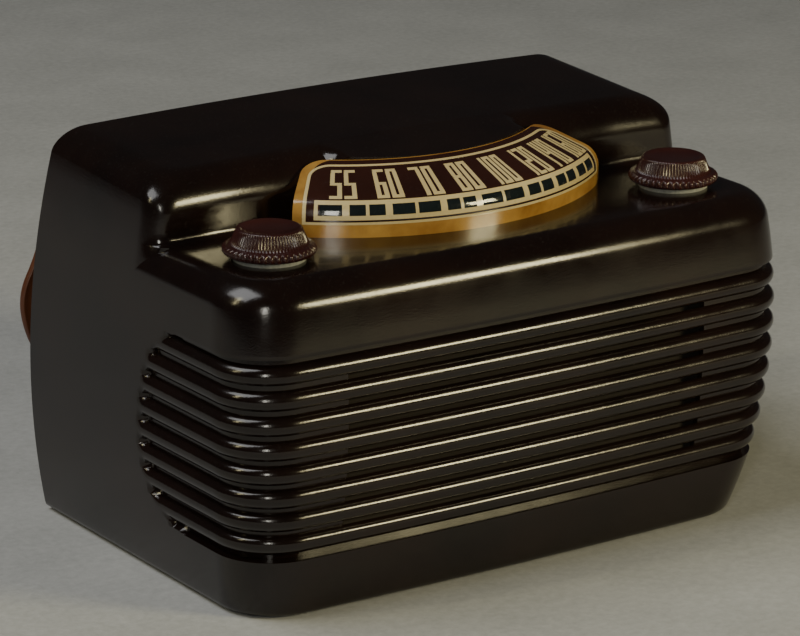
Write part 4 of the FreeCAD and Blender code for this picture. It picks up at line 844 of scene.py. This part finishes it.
def cord_points():
    points = [(x, y + EXIT_Y, z) for x, y, z in CORD_ROUTE]
    per_turn, start, last_turn = 14, 146.0, 0.19
    total = int(per_turn * (len(COIL_TURNS) - 1 + last_turn)) + 1
    for k in range(total):
        share = k / per_turn
        turn = int(share)
        follow = min(turn + 1, len(COIL_TURNS) - 1)
        drift = smoothstep(share - turn, 0.55, 1.0)
        radius = COIL_TURNS[turn][0] * (1 - drift) + COIL_TURNS[follow][0] * drift
        z = COIL_TURNS[turn][1] * (1 - drift) + COIL_TURNS[follow][1] * drift
        radius += 0.5 * math.sin(2.3 * share + 0.7 * turn)
        angle = math.radians(start - 360.0 * share)
        across, along = radius * math.cos(angle), radius * math.sin(angle)
        points.append((COIL_CENTRE[0] + across, COIL_CENTRE[1] + along, z))
    return points + [(37.0, 174.5, 14.0), (46.0, 167.0, 12.6), (51.5, 158.5, 10.0),
                     (57.0, 152.3, 7.6), (64.0, 150.0, 6.5)]


def spline_line(points):
    """The points that a smooth curve through the cord's control points passes."""
    data = bpy.data.curves.new("cord_line", "CURVE")
    data.dimensions = "3D"
    spline = data.splines.new("NURBS")
    spline.points.add(len(points) - 1)
    for knot, (x, y, z) in zip(spline.points, points):
        knot.co = (x * MM, y * MM, z * MM, 1)
    spline.order_u = 3
    spline.use_endpoint_u = True
    spline.resolution_u = 8
    item = bpy.data.objects.new("cord_line", data)
    bpy.context.scene.collection.objects.link(item)
    bpy.context.view_layer.update()
    mesh = bpy.data.meshes.new_from_object(item)
    line = [v.co.copy() for v in mesh.vertices]
    bpy.data.objects.remove(item)
    bpy.data.meshes.remove(mesh)
    return line


def twin_flex(line):
    """Two strands side by side, swept along the line without twisting."""
    section = []
    strand, count = CORD_THICK / 2, 24
    centre = (CORD_WIDTH - CORD_THICK) / 2
    for k in range(count):
        turn = 2 * math.pi * (k + 0.5) / count
        waist = 1.0 - 0.34 * math.exp(-(math.cos(turn) / 0.22) ** 2)
        side = math.copysign(centre, math.cos(turn)) + strand * math.cos(turn)
        section.append((side * MM, strand * math.sin(turn) * waist * MM))
    points, faces = [], []
    tangent = (line[1] - line[0]).normalized()
    wide = Vector((1, 0, 0))
    for k, at in enumerate(line):
        ahead = line[min(k + 1, len(line) - 1)] - line[max(k - 1, 0)]
        turned = tangent.rotation_difference(ahead.normalized())
        wide = (turned @ wide).normalized()
        tangent = ahead.normalized()
        thin = tangent.cross(wide).normalized()
        points += [(at + wide * a + thin * b) / MM for a, b in section]
    faces = grid_faces(len(line), count, closed=True)
    faces += [tuple(range(count)), tuple(len(points) - count + k for k in range(count))]
    return mesh_piece("mains_flex", points, faces, "cord_plastic")


def plug():
    """A small moulded plug with a waist to grip, standing where the part's plug is."""
    low, high = (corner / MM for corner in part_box("plug_body"))
    middle_y, middle_z = (low.y + high.y) / 2, (low.z + high.z) / 2
    half_y, half_z = (high.y - low.y) / 2, (high.z - low.z) / 2
    stations = [(0.0, 0.22, 0.50), (0.02, 0.36, 0.62), (0.14, 0.40, 0.66), (0.26, 0.50, 0.76),
                (0.36, 0.76, 0.92), (0.46, 0.94, 1.0), (0.56, 0.97, 0.97), (0.66, 0.86, 0.84),
                (0.76, 0.88, 0.86), (0.86, 0.99, 0.98), (0.96, 1.0, 1.0), (0.99, 0.97, 0.96),
                (1.0, 0.90, 0.88)]
    columns, power = 40, 0.55
    points = []
    for share, wide, tall in stations:
        for k in range(columns):
            turn = 2 * math.pi * k / columns
            across = math.copysign(abs(math.cos(turn)) ** power, math.cos(turn))
            upward = math.copysign(abs(math.sin(turn)) ** power, math.sin(turn))
            points.append((low.x + (high.x - low.x) * share, middle_y + half_y * wide * across,
                           middle_z + half_z * tall * upward))
    faces = grid_faces(len(stations), columns, closed=True)
    faces += [tuple(range(columns)), tuple(len(points) - columns + k for k in range(columns))]
    item = mesh_piece("mains_plug_moulding", points, faces, "plug_plastic")
    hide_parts("plug_body")
    return item


def coil_tie():
    """A narrow band round the bundle that keeps the coil together."""
    place, ring = math.radians(120.0), 31.0
    outward = Vector((math.cos(place), math.sin(place), 0))
    along = Vector((-math.sin(place), math.cos(place), 0))
    centre = Vector((*COIL_CENTRE, 8.6)) + outward * ring
    half_wide, half_tall, width, thick, columns = 11.6, 8.3, 5.0, 0.6, 48
    points = []
    for side, grow in ((-1, 0), (-1, thick), (1, thick), (1, 0)):
        for k in range(columns):
            angle = 2 * math.pi * k / columns
            across = math.copysign(abs(math.cos(angle)) ** 0.6, math.cos(angle)) * (half_wide + grow - thick)
            upward = math.copysign(abs(math.sin(angle)) ** 0.6, math.sin(angle)) * (half_tall + grow - thick)
            rim = centre + outward * across + Vector((0, 0, upward))
            points.append(tuple(rim + along * side * width / 2))
    faces = grid_faces(4, columns, closed=True) + \
        [(k, (k + 1) % columns, 3 * columns + (k + 1) % columns, 3 * columns + k) for k in range(columns)]
    return mesh_piece("coil_tie", points, faces, "rubber")


def mains_cord():
    line = spline_line(cord_points())
    flex = twin_flex(line)
    moulding, tie = plug(), coil_tie()
    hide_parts("power_cord", "power_cord_coil")


# ---------------------------------------------------------------- stage

def stage():
    size = 6.0
    mesh = bpy.data.meshes.new("floor")
    corners = [(-size, -size, 0), (size, -size, 0), (size, size, 0), (-size, size, 0)]
    mesh.from_pydata(corners, [], [(0, 1, 2, 3)])
    cloth = fibrous("floor_cloth", (0.40, 0.41, 0.41), (0.52, 0.53, 0.53), 260.0, (0.85, 0.95), 0.0002)
    mesh.materials.append(cloth)
    floor = bpy.data.objects.new("floor", mesh)
    bpy.context.scene.collection.objects.link(floor)


make_camera()
paint_frame()
mains_cord()
make_lights()
stage()
lower = lower_body()
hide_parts("cabinet")
slab()
apron()
lens_shell()
dial_print()
knob("volume_knob", -KNOB_X, "volume_spindle")
knob("tuning_knob", KNOB_X, "tuning_spindle")
